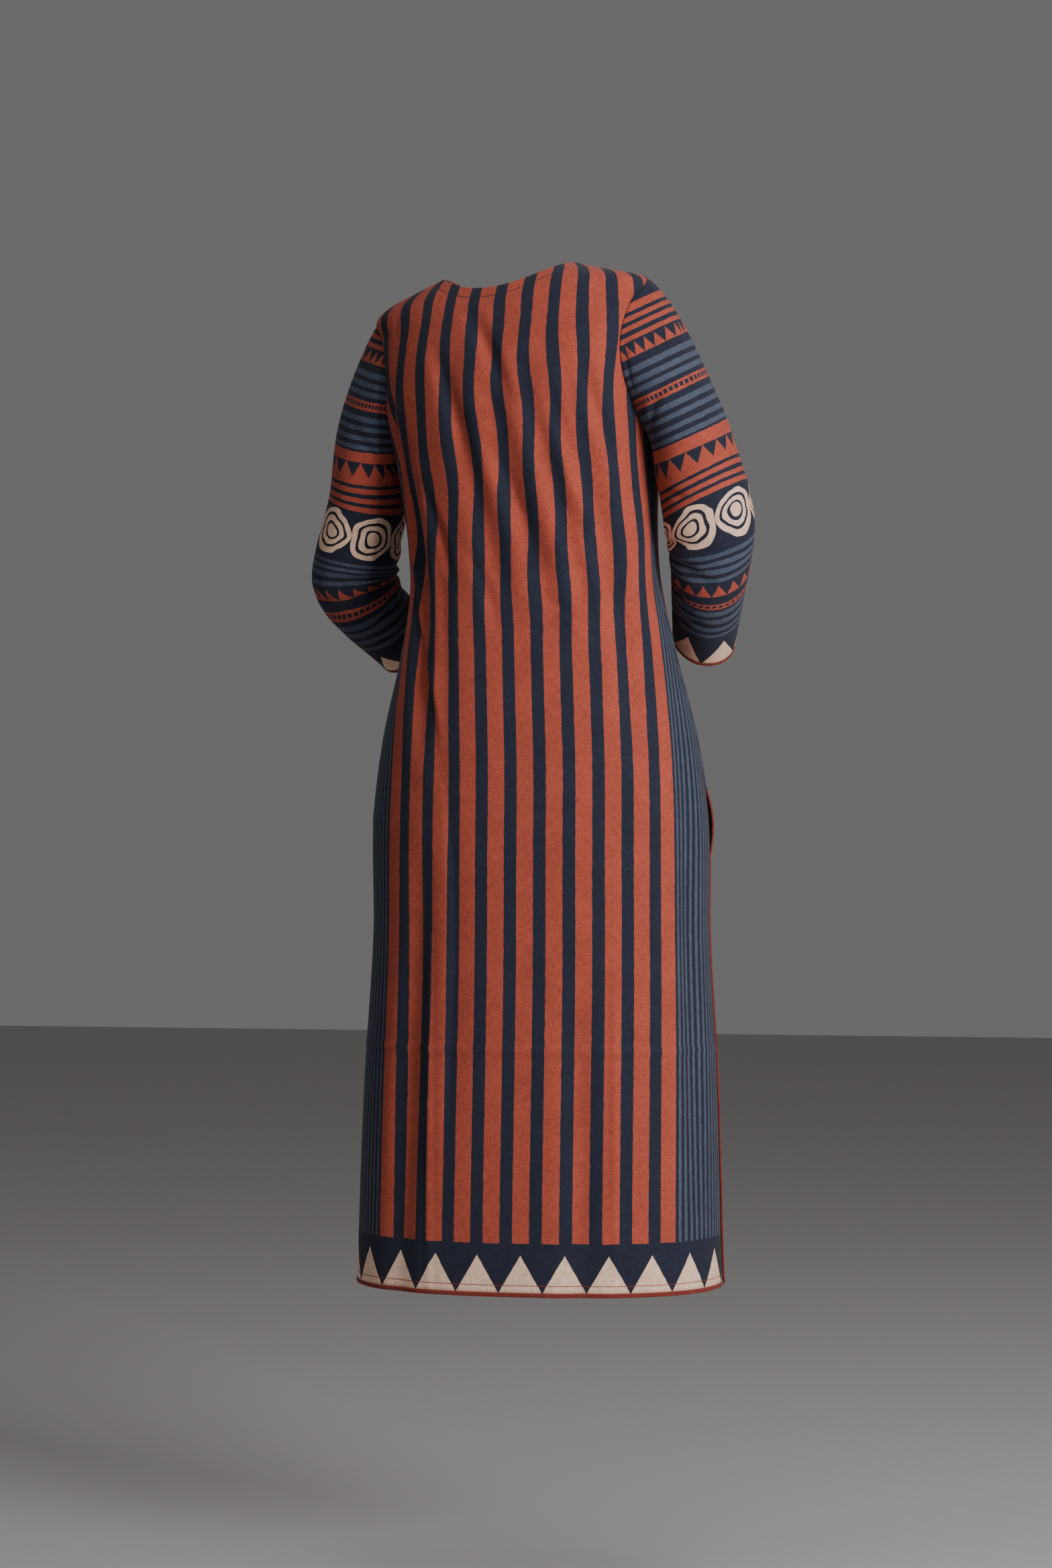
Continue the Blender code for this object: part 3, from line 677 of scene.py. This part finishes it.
def tube_rings(turn):
    """Rings of the sleeve below the armhole, each square to the centre line but for the bands' tilt, with
    the way run along the centre line and the centre line's first point and direction."""
    rows = np.array(SLEEVE_ROWS)
    run = np.concatenate([[0], np.cumsum(np.linalg.norm(np.diff(rows[:, :3], axis=0), axis=1))])
    table = np.column_stack([run, rows])[::-1]
    step = np.linspace(0, run[-1], TUBE_STEPS + 1)
    centre = np.stack([read_table(table, k, step) for k in (1, 2, 3)], axis=1)
    half_width, half_depth = read_table(table, 4, step), read_table(table, 5, step)
    direction = unit(np.gradient(centre, step, axis=0))
    outward = unit(np.array([1.0, 0.0, 0.0]) - direction[:, :1] * direction)
    backward = np.cross(outward, direction)
    share = (step / run[-1])[:, None]
    crease = elbow_creases(share, turn[None, :])
    width = half_width[:, None] * np.cos(turn)[None, :]
    depth = half_depth[:, None] * np.sin(turn)[None, :]
    tilt = BAND_TILT * (1.0 - smooth_step(0.25, 0.7, share)) * width
    swell = 1.0 + crease / half_depth[:, None]
    points = (
        centre[:, None]
        + outward[:, None] * (width * swell)[..., None]
        + backward[:, None] * (depth * swell)[..., None]
        - direction[:, None] * tilt[..., None]
    )
    return points, step, centre[0], direction[0], outward[0]


def sleeve_surface(sleeve, back, front, cut):
    """One sleeve from the armhole to the cuff. Its columns start and end at the underarm seam. The head
    runs from the armhole into the tube as a cubic with set directions at both ends."""
    side = sleeve["side"]
    mirror = np.array([side, 1.0, 1.0])
    loop, loop_normals, opening = (a * mirror for a in armhole_loop(back, front, side))
    count = len(loop)
    turn = np.arange(count) / count * 2 * HALF_TURN
    tube, step, first, direction, outward = tube_rings(turn)
    start = head_directions(turn)
    facing = np.einsum("ij,ij->i", start, opening)[:, None]
    loop = loop + loop_normals * cut.cloth * 0.6 * (1 - np.clip(facing, 0, 1))
    end = unit(tube[1] - tube[0])
    reach = np.linalg.norm(tube[0] - loop, axis=1)[:, None]
    t = np.linspace(0, 1, HEAD_STEPS + 1)[:-1, None, None]
    head = (
        loop * (1 - 3 * t**2 + 2 * t**3)
        + start * reach * HEAD_PULL * (t - 2 * t**2 + t**3)
        + tube[0] * (3 * t**2 - 2 * t**3)
        + end * reach * (t**3 - t**2)
    )
    band_way = unit(direction + BAND_TILT * outward)
    head_run = np.einsum("ijk,k->ij", head - first, band_way)
    tube_run = np.repeat(step[:, None], count, axis=1)
    run = np.concatenate([head_run, tube_run])
    tip = run[0, 0]
    run = (run - tip) * SLEEVE_LENGTH / (step[-1] - tip)
    points = np.concatenate([head, tube])
    points = np.roll(points, count // 2, axis=1)
    run = np.roll(run, count // 2, axis=1)
    closed = np.concatenate([points, points[:, :1]], axis=1)
    around = np.concatenate(
        [np.zeros((len(points), 1)), np.cumsum(np.linalg.norm(np.diff(closed, axis=1), axis=2), axis=1)], axis=1
    )
    around = around - around[:, -1:] / 2
    inwards = cut.fold_strength * crease_depths(SLEEVE_CREASES, around[:, :-1], run)
    inwards *= smooth_step(0.0, 0.02, run - run[:1]) * smooth_step(0.0, 0.02, SLEEVE_LENGTH - run)
    points = points - tube_normals(points) * inwards[..., None]
    run = np.concatenate([run, run[:, :1]], axis=1)
    printed = np.interp(run / MM, sleeve["worn"], sleeve["printed"]) * MM
    maps = {
        "cloth": np.stack([around + sleeve["phase"] * MM, printed], axis=-1),
        "edges": np.stack([run - run[:1], around[:, -1:] - np.abs(around)], axis=-1),
    }
    return points * mirror, maps


def tube_normals(points):
    """Outward normals of a closed round grid."""
    padded = np.concatenate([points[:, -1:], points, points[:, :1]], axis=1)
    return -grid_normals(padded)[:, 1:-1]


def quads(index, turned=False):
    """Corners of a grid's faces."""
    corners = (index[:-1, :-1], index[:-1, 1:], index[1:, 1:], index[1:, :-1])
    return np.stack(corners[::-1] if turned else corners, axis=-1).reshape(-1, 4)


def rim(outer, inner, turned):
    """Corners of the faces that join two edges."""
    corners = (outer[:-1], inner[:-1], inner[1:], outer[1:])
    return np.stack(corners[::-1] if turned else corners, axis=-1)


def wall_faces(index, shift, round_it):
    """Faces of two layers of one grid, the second shift further on, and of the rims between them."""
    inner = index + shift
    faces = [quads(index), quads(inner, True), rim(index[0], inner[0], False), rim(index[-1], inner[-1], True)]
    if not round_it:
        faces += [rim(index[:, 0], inner[:, 0], True), rim(index[:, -1], inner[:, -1], False)]
    return np.concatenate(faces)


def cloth_piece(name, middle, normals, cut, maps, round_it=False):
    """A cloth piece: its middle surface moved half a thickness out and in, closed by rims. Each map is a
    UV map of both layers. A round piece's maps have one column more, for its seam."""
    rows, columns = middle.shape[:2]
    layers = [(middle + normals * cut.cloth * half).reshape(-1, 3) for half in (0.5, -0.5)]
    index = np.arange(rows * columns).reshape(rows, columns)
    if round_it:
        index = np.concatenate([index, index[:, :1]], axis=1)
    spots = np.arange(index.size).reshape(index.shape)
    faces = wall_faces(index, rows * columns, round_it)
    places = wall_faces(spots, 0, round_it)
    points = np.concatenate(layers)
    if enclosed(points, faces) < 0:
        faces, places = faces[:, ::-1], places[:, ::-1]
    made = new_object(name, points, faces)
    for map_name, values in maps.items():
        uv = made.data.uv_layers.new(name=map_name)
        uv.data.foreach_set("uv", values.reshape(-1, 2)[places.reshape(-1)].astype(np.float32).reshape(-1))
    layer = np.zeros(len(faces), np.int32)
    layer[(faces >= rows * columns).all(axis=1)] = 1
    made.data.polygons.foreach_set("material_index", layer)
    return made


def enclosed(points, faces):
    """Volume inside a closed mesh of quads, negative when it is inside out."""
    a, b, c, d = (points[faces[:, k]] for k in range(4))
    return float((np.einsum("ij,ij->i", a, np.cross(b, c)) + np.einsum("ij,ij->i", a, np.cross(c, d))).sum())


def new_object(name, points, faces):
    """One smooth object of these points and faces, linked to the scene."""
    mesh = bpy.data.meshes.new(name)
    mesh.from_pydata(points.tolist(), [], faces.tolist() if hasattr(faces, "tolist") else faces)
    mesh.shade_smooth()
    made = bpy.data.objects.new(name, mesh)
    bpy.context.scene.collection.objects.link(made)
    return made


def binding_piece(name, edge, outward, downward, cut, round_it=False, tuck=0.0):
    """Bias tape folded over an edge: a flat oval profile carried along the edge, its long side along the
    cloth, closed by a point at each end."""
    angle = np.arange(BINDING_SIDES) / BINDING_SIDES * 2 * HALF_TURN
    half_height, half_thickness = cut.binding_width / 2, cut.binding_thickness / 2
    centre = edge + downward * (half_height - 0.8 * MM - tuck)
    flat = np.sign(np.cos(angle)) * np.abs(np.cos(angle)) ** 0.7 * half_thickness
    tall = np.sign(np.sin(angle)) * np.abs(np.sin(angle)) ** 0.7 * half_height
    rings = centre[:, None] + outward[:, None] * flat[None, :, None] + downward[:, None] * tall[None, :, None]
    count = len(rings)
    along = np.concatenate([[0.0], np.cumsum(np.linalg.norm(np.diff(centre, axis=0), axis=1))])
    index = np.arange(count * BINDING_SIDES).reshape(count, BINDING_SIDES)
    if round_it:
        index = np.concatenate([index, index[:1]])
    index = np.concatenate([index, index[:, :1]], axis=1)
    faces = quads(index)
    points = rings.reshape(-1, 3)
    lists = faces.tolist()
    if not round_it:
        points = np.concatenate([points, centre[[0, -1]]])
        first, last = len(points) - 2, len(points) - 1
        lists += [[first, b, a] for a, b in zip(index[0][:-1].tolist(), index[0][1:].tolist())]
        lists += [[last, a, b] for a, b in zip(index[-1][:-1].tolist(), index[-1][1:].tolist())]
    made = new_object(name, points, lists)
    if enclosed(points, faces) < 0:
        made.data.flip_normals()
    uv = made.data.uv_layers.new(name="cloth")
    where = np.zeros(len(made.data.loops), np.int32)
    made.data.loops.foreach_get("vertex_index", where)
    ring = np.minimum(where // BINDING_SIDES, count - 1)
    spot = np.stack([along[ring], (where % BINDING_SIDES) / BINDING_SIDES * 2 * cut.binding_width], axis=-1)
    uv.data.foreach_set("uv", spot.astype(np.float32).reshape(-1))
    return made


def put(tree, kind, inputs=(), **settings):
    """One node with its settings, its enabled inputs given in order or by name, and its first output."""
    made = tree.nodes.new("ShaderNode" + kind)
    for name, value in settings.items():
        setattr(made, name, value)
    enabled = [socket for socket in made.inputs if socket.enabled]
    pairs = inputs.items() if isinstance(inputs, dict) else enumerate(inputs)
    for key, value in pairs:
        socket = made.inputs[key] if isinstance(key, str) else enabled[key]
        if isinstance(value, bpy.types.NodeSocket):
            tree.links.new(value, socket)
        elif value is not None:
            socket.default_value = value
    return next(socket for socket in made.outputs if socket.enabled)


def cloth_place(tree):
    """Across and along of the flat cloth, in metres, and how far a hand-printed edge strays there."""
    place = put(tree, "UVMap", uv_map="cloth")
    parts = put(tree, "SeparateXYZ", [place]).node
    stray = put(tree, "TexNoise", {"Vector": place, "Scale": 90.0, "Detail": 2.0})
    stray = put(tree, "Math", [stray, -0.5], operation="ADD")
    return place, parts.outputs["X"], parts.outputs["Y"], stray


def triangle_mask(tree, across, along, tip, base, pitch):
    """1 in a row of triangles whose tips and bases lie at these heights: the distance to the nearest tip,
    in pitches, is under half the share of the way from tip to base."""
    share = put(tree, "MapRange", [along, tip, base, 0.0, 1.0], clamp=False)
    turns = put(tree, "Math", [across, 1 / pitch], operation="MULTIPLY")
    nearest = put(tree, "Math", [turns, 0.5], operation="PINGPONG")
    half = put(tree, "Math", [share, 0.5], operation="MULTIPLY")
    inside = put(tree, "Math", [nearest, half], operation="LESS_THAN")
    above = put(tree, "Math", [share, 1.0], operation="LESS_THAN")
    return put(tree, "Math", [inside, above], operation="MULTIPLY")


def panel_print(tree, dyes, sizes):
    """Rust stripes on navy about the centre line, blue-grey lines beside them, and cream triangles over
    the hem. The stripes close up towards the shoulders."""
    place, across, along, stray = cloth_place(tree)
    printed = put(tree, "Math", [stray, 0.0016, across], operation="MULTIPLY_ADD")
    pitch = put(tree, "Math", [along, -sizes.stripe_closing, sizes.stripe_pitch], operation="MULTIPLY_ADD")
    lap = put(tree, "SeparateXYZ", [put(tree, "UVMap", uv_map="lap")]).node
    past = put(tree, "Math", [lap.outputs["X"], 0.0], operation="GREATER_THAN")
    swallowed = put(tree, "Math", [past, lap.outputs["Y"]], operation="MULTIPLY")
    turns = put(tree, "Math", [printed, pitch], operation="DIVIDE")
    turns = put(tree, "Math", [turns, swallowed], operation="ADD")
    nearest = put(tree, "Math", [turns, 0.5], operation="PINGPONG")
    stripe = put(tree, "Math", [nearest, STRIPE_SHARE], operation="LESS_THAN")
    middle = put(tree, "Math", [turns, -0.5], operation="ADD")
    far = put(tree, "Math", [middle], operation="ABSOLUTE")
    by_armhole = put(tree, "Math", [along, UNDERARM - HEM], operation="GREATER_THAN")
    far = put(tree, "Math", [by_armhole, -3.0, far], operation="MULTIPLY_ADD")
    inside = put(tree, "Math", [far, STRIPE_REACH], operation="LESS_THAN")
    stripe = put(tree, "Math", [stripe, inside], operation="MULTIPLY")
    beyond = put(tree, "Math", [far, -STRIPE_REACH], operation="ADD")
    beyond = put(tree, "Math", [beyond, pitch], operation="MULTIPLY")
    lines = put(tree, "Math", [beyond, 1 / LINE_PITCH, -0.68], operation="MULTIPLY_ADD")
    lines = put(tree, "Math", [lines, 0.5], operation="PINGPONG")
    lines = put(tree, "Math", [lines, LINE_SHARE], operation="LESS_THAN")
    outside = put(tree, "Math", [beyond, 0.001], operation="GREATER_THAN")
    lines = put(tree, "Math", [lines, outside], operation="MULTIPLY")
    colour = put(tree, "Mix", [lines, dyes["navy"], dyes["line"]], data_type="RGBA")
    colour = put(tree, "Mix", [stripe, colour, dyes["rust"]], data_type="RGBA")
    low = put(tree, "Math", [stray, 0.003, along], operation="MULTIPLY_ADD")
    above = put(tree, "Math", [low, BORDER_HEIGHT], operation="GREATER_THAN")
    colour = put(tree, "Mix", [above, dyes["navy"], colour], data_type="RGBA")
    teeth = triangle_mask(tree, printed, along, TRIANGLE_HEIGHT, 0.0, sizes.triangle_pitch)
    colour = put(tree, "Mix", [teeth, colour, dyes["cream"]], data_type="RGBA")
    from_top = put(tree, "SeparateXYZ", [put(tree, "UVMap", uv_map="edges")])
    sewn = stitch_mask(tree, from_top, NECK_STITCH, across)
    colour = put(tree, "Mix", [sewn, colour, dyes["navy"]], data_type="RGBA")
    sewn = stitch_mask(tree, along, HEM_STITCH, across)
    colour = put(tree, "Mix", [sewn, colour, dyes["binding"]], data_type="RGBA")
    return place, across, along, colour


def stitch_mask(tree, value, level, across):
    """1 on a row of lockstitches where the value is at the level: stitches 2.6 mm apart, drawn 1.1 mm wide
    so that the thread shows."""
    off = put(tree, "Math", [value, -level], operation="ADD")
    off = put(tree, "Math", [off], operation="ABSOLUTE")
    near = put(tree, "Math", [off, 0.00055], operation="LESS_THAN")
    turns = put(tree, "Math", [across, 1 / 0.0026], operation="MULTIPLY")
    turns = put(tree, "Math", [turns, 0.5], operation="PINGPONG")
    thread = put(tree, "Math", [turns, 0.38], operation="LESS_THAN")
    return put(tree, "Math", [near, thread], operation="MULTIPLY")


def sleeve_print(tree, dyes, sizes):
    """Bands round the arm from the table, with rows of triangles, dots and rings in one another."""
    place, across, along, stray = cloth_place(tree)
    lower = put(tree, "Math", [stray, 0.0014, along], operation="MULTIPLY_ADD")
    halves = []
    for begin, finish in zip(BAND_HALVES[:-1], BAND_HALVES[1:]):
        share = put(tree, "MapRange", [lower, begin * MM, finish * MM, 0.0, 1.0])
        ramp = put(tree, "ValToRGB", [share]).node.color_ramp
        ramp.interpolation = "CONSTANT"
        stops = [(b, c) for b, c in BANDS if begin <= b < finish]
        stops.insert(0, (begin, [c for b, c in BANDS if b <= begin][-1]))
        for number, (band, dye) in enumerate(stops):
            stop = ramp.elements[0] if number == 0 else ramp.elements.new((band - begin) / (finish - begin))
            stop.color = dyes[dye]
        ramp.elements.remove(ramp.elements[-1])
        halves.append(ramp)
    outputs = [node.outputs["Color"] for node in tree.nodes if node.bl_idname == "ShaderNodeValToRGB"]
    second = put(tree, "Math", [lower, BAND_HALVES[1] * MM], operation="GREATER_THAN")
    colour = put(tree, "Mix", [second, outputs[0], outputs[1]], data_type="RGBA")
    for tip, base, pitch, shift, dye in SLEEVE_TRIANGLES:
        beside = put(tree, "Math", [across, shift * MM], operation="ADD")
        teeth = triangle_mask(tree, beside, lower, tip * MM, base * MM, pitch * MM)
        colour = put(tree, "Mix", [teeth, colour, dyes[dye]], data_type="RGBA")
    turns = put(tree, "Math", [across, 1 / (DOT_PITCH * MM)], operation="MULTIPLY")
    beside = put(tree, "Math", [turns, 0.5], operation="PINGPONG")
    beside = put(tree, "Math", [beside, DOT_PITCH * MM], operation="MULTIPLY")
    for row in DOT_ROWS:
        off = put(tree, "Math", [lower, row * MM], operation="SUBTRACT")
        off = put(tree, "Math", [off], operation="ABSOLUTE")
        off = put(tree, "Math", [off, beside], operation="MAXIMUM")
        dot = put(tree, "Math", [off, DOT_HALF * MM], operation="LESS_THAN")
        colour = put(tree, "Mix", [dot, colour, dyes["navy"]], data_type="RGBA")
    return place, across, along, rings_over(tree, place, colour, dyes)


def rings_over(tree, place, colour, dyes):
    """Cream rings in one another in a row round the arm, drawn freehand: the place is shifted by soft noise
    before its distance to the nearest middle is read."""
    drift = put(tree, "TexNoise", {"Vector": place, "Scale": 42.0, "Detail": 1.0}).node.outputs["Color"]
    drift = put(tree, "VectorMath", [drift, (-0.5, -0.5, -0.5)], operation="ADD")
    drift = put(tree, "VectorMath", [drift, (0.0095, 0.0095, 0.0)], operation="MULTIPLY")
    drawn = put(tree, "VectorMath", [place, drift], operation="ADD")
    parts = put(tree, "SeparateXYZ", [drawn]).node
    turns = put(tree, "Math", [parts.outputs["X"], 1 / (RING_PITCH * MM)], operation="MULTIPLY")
    turns = put(tree, "Math", [turns, 0.5], operation="ADD")
    beside = put(tree, "Math", [turns, 0.5], operation="PINGPONG")
    beside = put(tree, "Math", [beside, RING_PITCH * MM], operation="MULTIPLY")
    above = put(tree, "Math", [parts.outputs["Y"], RING_ROW * MM], operation="SUBTRACT")
    above = put(tree, "Math", [above, 1 / RING_TALLER], operation="MULTIPLY")
    spot = put(tree, "CombineXYZ", [beside, above, 0.0])
    reach = put(tree, "VectorMath", [spot], operation="LENGTH").node.outputs["Value"]
    share = put(tree, "Math", [reach, 1 / (RING_REACH * MM)], operation="MULTIPLY")
    ramp = put(tree, "ValToRGB", [share])
    stops = ramp.node.color_ramp
    stops.interpolation = "CONSTANT"
    for number, (edge, cream) in enumerate(RING_EDGES):
        stop = stops.elements[0] if number == 0 else stops.elements.new(edge / RING_REACH)
        stop.color = (cream, cream, cream, 1.0)
    stops.elements.remove(stops.elements[-1])
    return put(tree, "Mix", [ramp, colour, dyes["cream"]], data_type="RGBA")


def plain_dye(tree, dyes, sizes):
    """One dye all over."""
    place, across, along, stray = cloth_place(tree)
    return place, across, along, put(tree, "Mix", [0.0, dyes["binding"], dyes["binding"]], data_type="RGBA")


def woven_cotton(name, printer, sizes, reverse=False):
    """Plain-woven cotton cambric with a hand print: matt, with thread slubs that lighten and darken it in
    short streaks both ways. Its threads are 0.3 mm apart, too fine to show, so the streaks are drawn 1 mm
    wide. On the reverse the dye shows through paler."""
    made = bpy.data.materials.new(name)
    made.use_nodes = True
    tree = made.node_tree
    shader = tree.nodes["Principled BSDF"]
    pale = 0.28 if reverse else 0.0
    dyes = {}
    for dye in ("rust", "navy", "line", "cream", "binding"):
        colour, ground = getattr(sizes, dye), sizes.cream
        dyes[dye] = tuple(c + (g - c) * pale for c, g in zip(colour, ground))
    place, across, along, colour = printer(tree, dyes, sizes)
    streaks = []
    for stretch in ((900.0, 110.0, 1.0), (110.0, 900.0, 1.0)):
        run = put(tree, "VectorMath", [place, stretch], operation="MULTIPLY")
        streaks.append(put(tree, "TexNoise", {"Vector": run, "Scale": 1.0, "Detail": 3.0, "Roughness": 0.6}))
    weave = put(tree, "Math", [streaks[0], streaks[1]], operation="ADD")
    cloudy = put(tree, "TexNoise", {"Vector": place, "Scale": 24.0, "Detail": 3.0})
    bright = put(tree, "MapRange", [weave, 0.6, 1.4, 0.62, 1.40])
    soft = put(tree, "MapRange", [cloudy, 0.3, 0.7, 0.91, 1.09], clamp=False)
    bright = put(tree, "Math", [bright, soft], operation="MULTIPLY")
    shade = put(tree, "CombineXYZ", [bright, bright, bright])
    colour = put(tree, "Mix", [1.0, colour, shade], data_type="RGBA", blend_type="MULTIPLY")
    tree.links.new(colour, shader.inputs["Base Color"])
    bump = put(tree, "Bump", {"Height": weave, "Strength": 0.5, "Distance": 0.0006})
    tree.links.new(bump, shader.inputs["Normal"])
    shader.inputs["Roughness"].default_value = 0.88
    shader.inputs["IOR"].default_value = 1.5
    shader.inputs["Specular IOR Level"].default_value = 0.25
    shader.inputs["Sheen Weight"].default_value = 0.06
    shader.inputs["Sheen Roughness"].default_value = 0.5
    return made


def painted_floor(name):
    """Pale matt floor paint: a plain light grey with no pattern."""
    made = bpy.data.materials.new(name)
    made.use_nodes = True
    shader = made.node_tree.nodes["Principled BSDF"]
    shader.inputs["Base Color"].default_value = linear("#B9B6B4")
    shader.inputs["Roughness"].default_value = 0.9
    return made


def build_panels(context):
    """Both panels' own middle surfaces, before the lean, with their maps."""
    cut = context.scene.kurti_cut
    return {name: panel_surface(panel, cut) for name, panel in PANELS.items()}


def settle(made, replaced):
    """A finished piece rides with the part's one body and stands for its solid."""
    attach(made, "root")
    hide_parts(replaced)


class KURTI_OT_panels(bpy.types.Operator):
    """Build the back and the front"""

    bl_idname = "kurti.panels"
    bl_label = "Back and front"

    def execute(self, context):
        cut, sizes = context.scene.kurti_cut, context.scene.kurti_print
        face = woven_cotton("hand_printed_cotton_stripes", panel_print, sizes)
        reverse = woven_cotton("cotton_stripes_reverse", panel_print, sizes, reverse=True)
        pair = {name: (worn(points), maps) for name, (points, maps) in build_panels(context).items()}
        normals = seamed_normals(pair)
        for name, (points, maps) in pair.items():
            made = cloth_piece(name + "_cloth", points, normals[name], cut, maps)
            made.data.materials.append(face)
            made.data.materials.append(reverse)
            settle(made, name + "_panel")
        return {"FINISHED"}


class KURTI_OT_sleeves(bpy.types.Operator):
    """Build the two sleeves"""

    bl_idname = "kurti.sleeves"
    bl_label = "Sleeves"

    def execute(self, context):
        cut, sizes = context.scene.kurti_cut, context.scene.kurti_print
        face = woven_cotton("hand_printed_cotton_bands", sleeve_print, sizes)
        reverse = woven_cotton("cotton_bands_reverse", sleeve_print, sizes, reverse=True)
        plain = build_panels(context)
        for hand, sleeve in SLEEVES.items():
            points, maps = sleeve_surface(sleeve, plain["back"][0], plain["front"][0], cut)
            points = worn(points, ARM_ROWS)
            normals = tube_normals(points) * sleeve["side"]
            made = cloth_piece(hand + "_sleeve_cloth", points, normals, cut, maps, round_it=True)
            made.data.materials.append(face)
            made.data.materials.append(reverse)
            settle(made, hand + "_sleeve")
        return {"FINISHED"}


class KURTI_OT_bindings(bpy.types.Operator):
    """Build the bound edges of the hems, slits and cuffs"""

    bl_idname = "kurti.bindings"
    bl_label = "Bound edges"

    def execute(self, context):
        cut, sizes = context.scene.kurti_cut, context.scene.kurti_print
        tape = woven_cotton("cotton_bias_tape", plain_dye, sizes)
        plain = build_panels(context)
        for name, (points, _) in plain.items():
            points = worn(points)
            normals = ring_normals(points, PANELS[name]["side"])
            made = binding_piece(name + "_hem_binding", points[0], normals[0], unit(points[0] - points[1]), cut)
            made.data.materials.append(tape)
            settle(made, name + "_hem_piping")
            if name == "back":
                continue
            rows = np.nonzero(plain[name][0][:, 0, 2] < SLIT_TOP - 2 * MM)[0]
            for hand, column, inner in (("right", 0, 1), ("left", -1, -2)):
                edge = points[rows, column]
                away = unit(edge - points[rows, inner])
                made = binding_piece(
                    hand + "_slit_binding", edge, normals[rows, column], away, cut, tuck=SLIT_TUCK
                )
                made.data.materials.append(tape)
                settle(made, hand + "_slit_piping")
        for hand, sleeve in SLEEVES.items():
            points, _ = sleeve_surface(sleeve, plain["back"][0], plain["front"][0], cut)
            points = worn(points, ARM_ROWS)
            normals = tube_normals(points) * sleeve["side"]
            down = unit(points[-1] - points[-2])
            made = binding_piece(hand + "_cuff_binding", points[-1], normals[-1], down, cut, round_it=True)
            made.data.materials.append(tape)
            settle(made, hand + "_cuff_piping")
        return {"FINISHED"}


class KURTI_OT_studio(bpy.types.Operator):
    """Build the floor, the lights and the camera"""

    bl_idname = "kurti.studio"
    bl_label = "Studio"

    def execute(self, context):
        scene, studio = context.scene, context.scene.kurti_studio
        reach = 9.0
        corners = np.array([(-reach, -reach, 0), (reach, -reach, 0), (reach, reach, 0), (-reach, reach, 0)])
        floor = new_object("studio_floor", corners + (0, 0, FLOOR_HEIGHT), np.array([[0, 1, 2, 3]]))
        floor.data.materials.append(painted_floor("pale_matt_floor_paint"))
        turn = math.radians(CAMERA_AZIMUTH)
        right = np.array([math.cos(turn), math.sin(turn), 0.0])
        ahead = np.array([-math.sin(turn), math.cos(turn), 0.0])
        aim = right * CAMERA_RIGHT + np.array([0.0, 0.0, CAMERA_HEIGHT])
        for name, to_right, up, back, size, power in (
            ("key", 1.95, 0.70, 2.35, 1.3, studio.key_power),
            ("fill", -2.6, 0.6, 2.4, 2.4, studio.fill_power),
            ("top", 0.3, 2.6, 0.6, 1.8, studio.key_power * 0.22),
        ):
            light = bpy.data.lights.new(name + "_softbox", "AREA")
            light.shape = "SQUARE"
            light.size, light.energy = size, power
            lamp = bpy.data.objects.new(name + "_softbox", light)
            place = aim + right * to_right - ahead * back + np.array([0.0, 0.0, up])
            lamp.location = place
            lamp.rotation_euler = facing(aim - place)
            scene.collection.objects.link(lamp)
        world = bpy.data.worlds.new("studio_air")
        world.use_nodes = True
        ground = world.node_tree.nodes["Background"]
        ground.inputs["Color"].default_value = linear("#A9A7A7")
        ground.inputs["Strength"].default_value = studio.air
        scene.world = world
        lens = bpy.data.cameras.new("studio_camera")
        lens.lens, lens.sensor_width = CAMERA_LENS, 36.0
        camera = bpy.data.objects.new("studio_camera", lens)
        camera.location = aim - ahead * CAMERA_DISTANCE
        camera.rotation_euler = (HALF_TURN / 2, 0.0, turn)
        scene.collection.objects.link(camera)
        scene.camera = camera
        return {"FINISHED"}


def facing(way):
    """Turn that makes a lamp's or a camera's -Z look along a direction."""
    level = math.hypot(way[0], way[1])
    return (math.atan2(level, -way[2]), 0.0, math.atan2(-way[0], way[1]))


FLOOR_HEIGHT = -1.47
CAMERA_AZIMUTH = 190.0
CAMERA_RIGHT = 0.010
CAMERA_HEIGHT = -0.578
CAMERA_DISTANCE = 4.19
CAMERA_LENS = 85.0


class KURTI_PT_pieces(bpy.types.Panel):
    """The kurti's pieces, in the order they are built"""

    bl_label = "Kurti"
    bl_idname = "KURTI_PT_pieces"
    bl_space_type = "VIEW_3D"
    bl_region_type = "UI"
    bl_category = "Kurti"

    def draw(self, context):
        for settings in (context.scene.kurti_cut, context.scene.kurti_print, context.scene.kurti_studio):
            box = self.layout.box()
            for name in settings.__annotations__:
                box.prop(settings, name)
        for operator in OPERATORS:
            self.layout.operator(operator.bl_idname)


SETTINGS = (("kurti_cut", KurtiCut), ("kurti_print", KurtiPrint), ("kurti_studio", KurtiStudio))
OPERATORS = (KURTI_OT_panels, KURTI_OT_sleeves, KURTI_OT_bindings, KURTI_OT_studio)


def register():
    for name, group in SETTINGS:
        bpy.utils.register_class(group)
        setattr(bpy.types.Scene, name, bpy.props.PointerProperty(type=group))
    for operator in OPERATORS:
        bpy.utils.register_class(operator)
    bpy.utils.register_class(KURTI_PT_pieces)


def unregister():
    bpy.utils.unregister_class(KURTI_PT_pieces)
    for operator in reversed(OPERATORS):
        bpy.utils.unregister_class(operator)
    for name, group in reversed(SETTINGS):
        delattr(bpy.types.Scene, name)
        bpy.utils.unregister_class(group)


def main():
    register()
    for old in ("Cube", "Light", "Camera"):
        if old in bpy.data.objects:
            bpy.data.objects.remove(bpy.data.objects[old])
    bpy.ops.kurti.panels()
    bpy.ops.kurti.sleeves()
    bpy.ops.kurti.bindings()
    bpy.ops.kurti.studio()


if __name__ == "__main__":
    main()
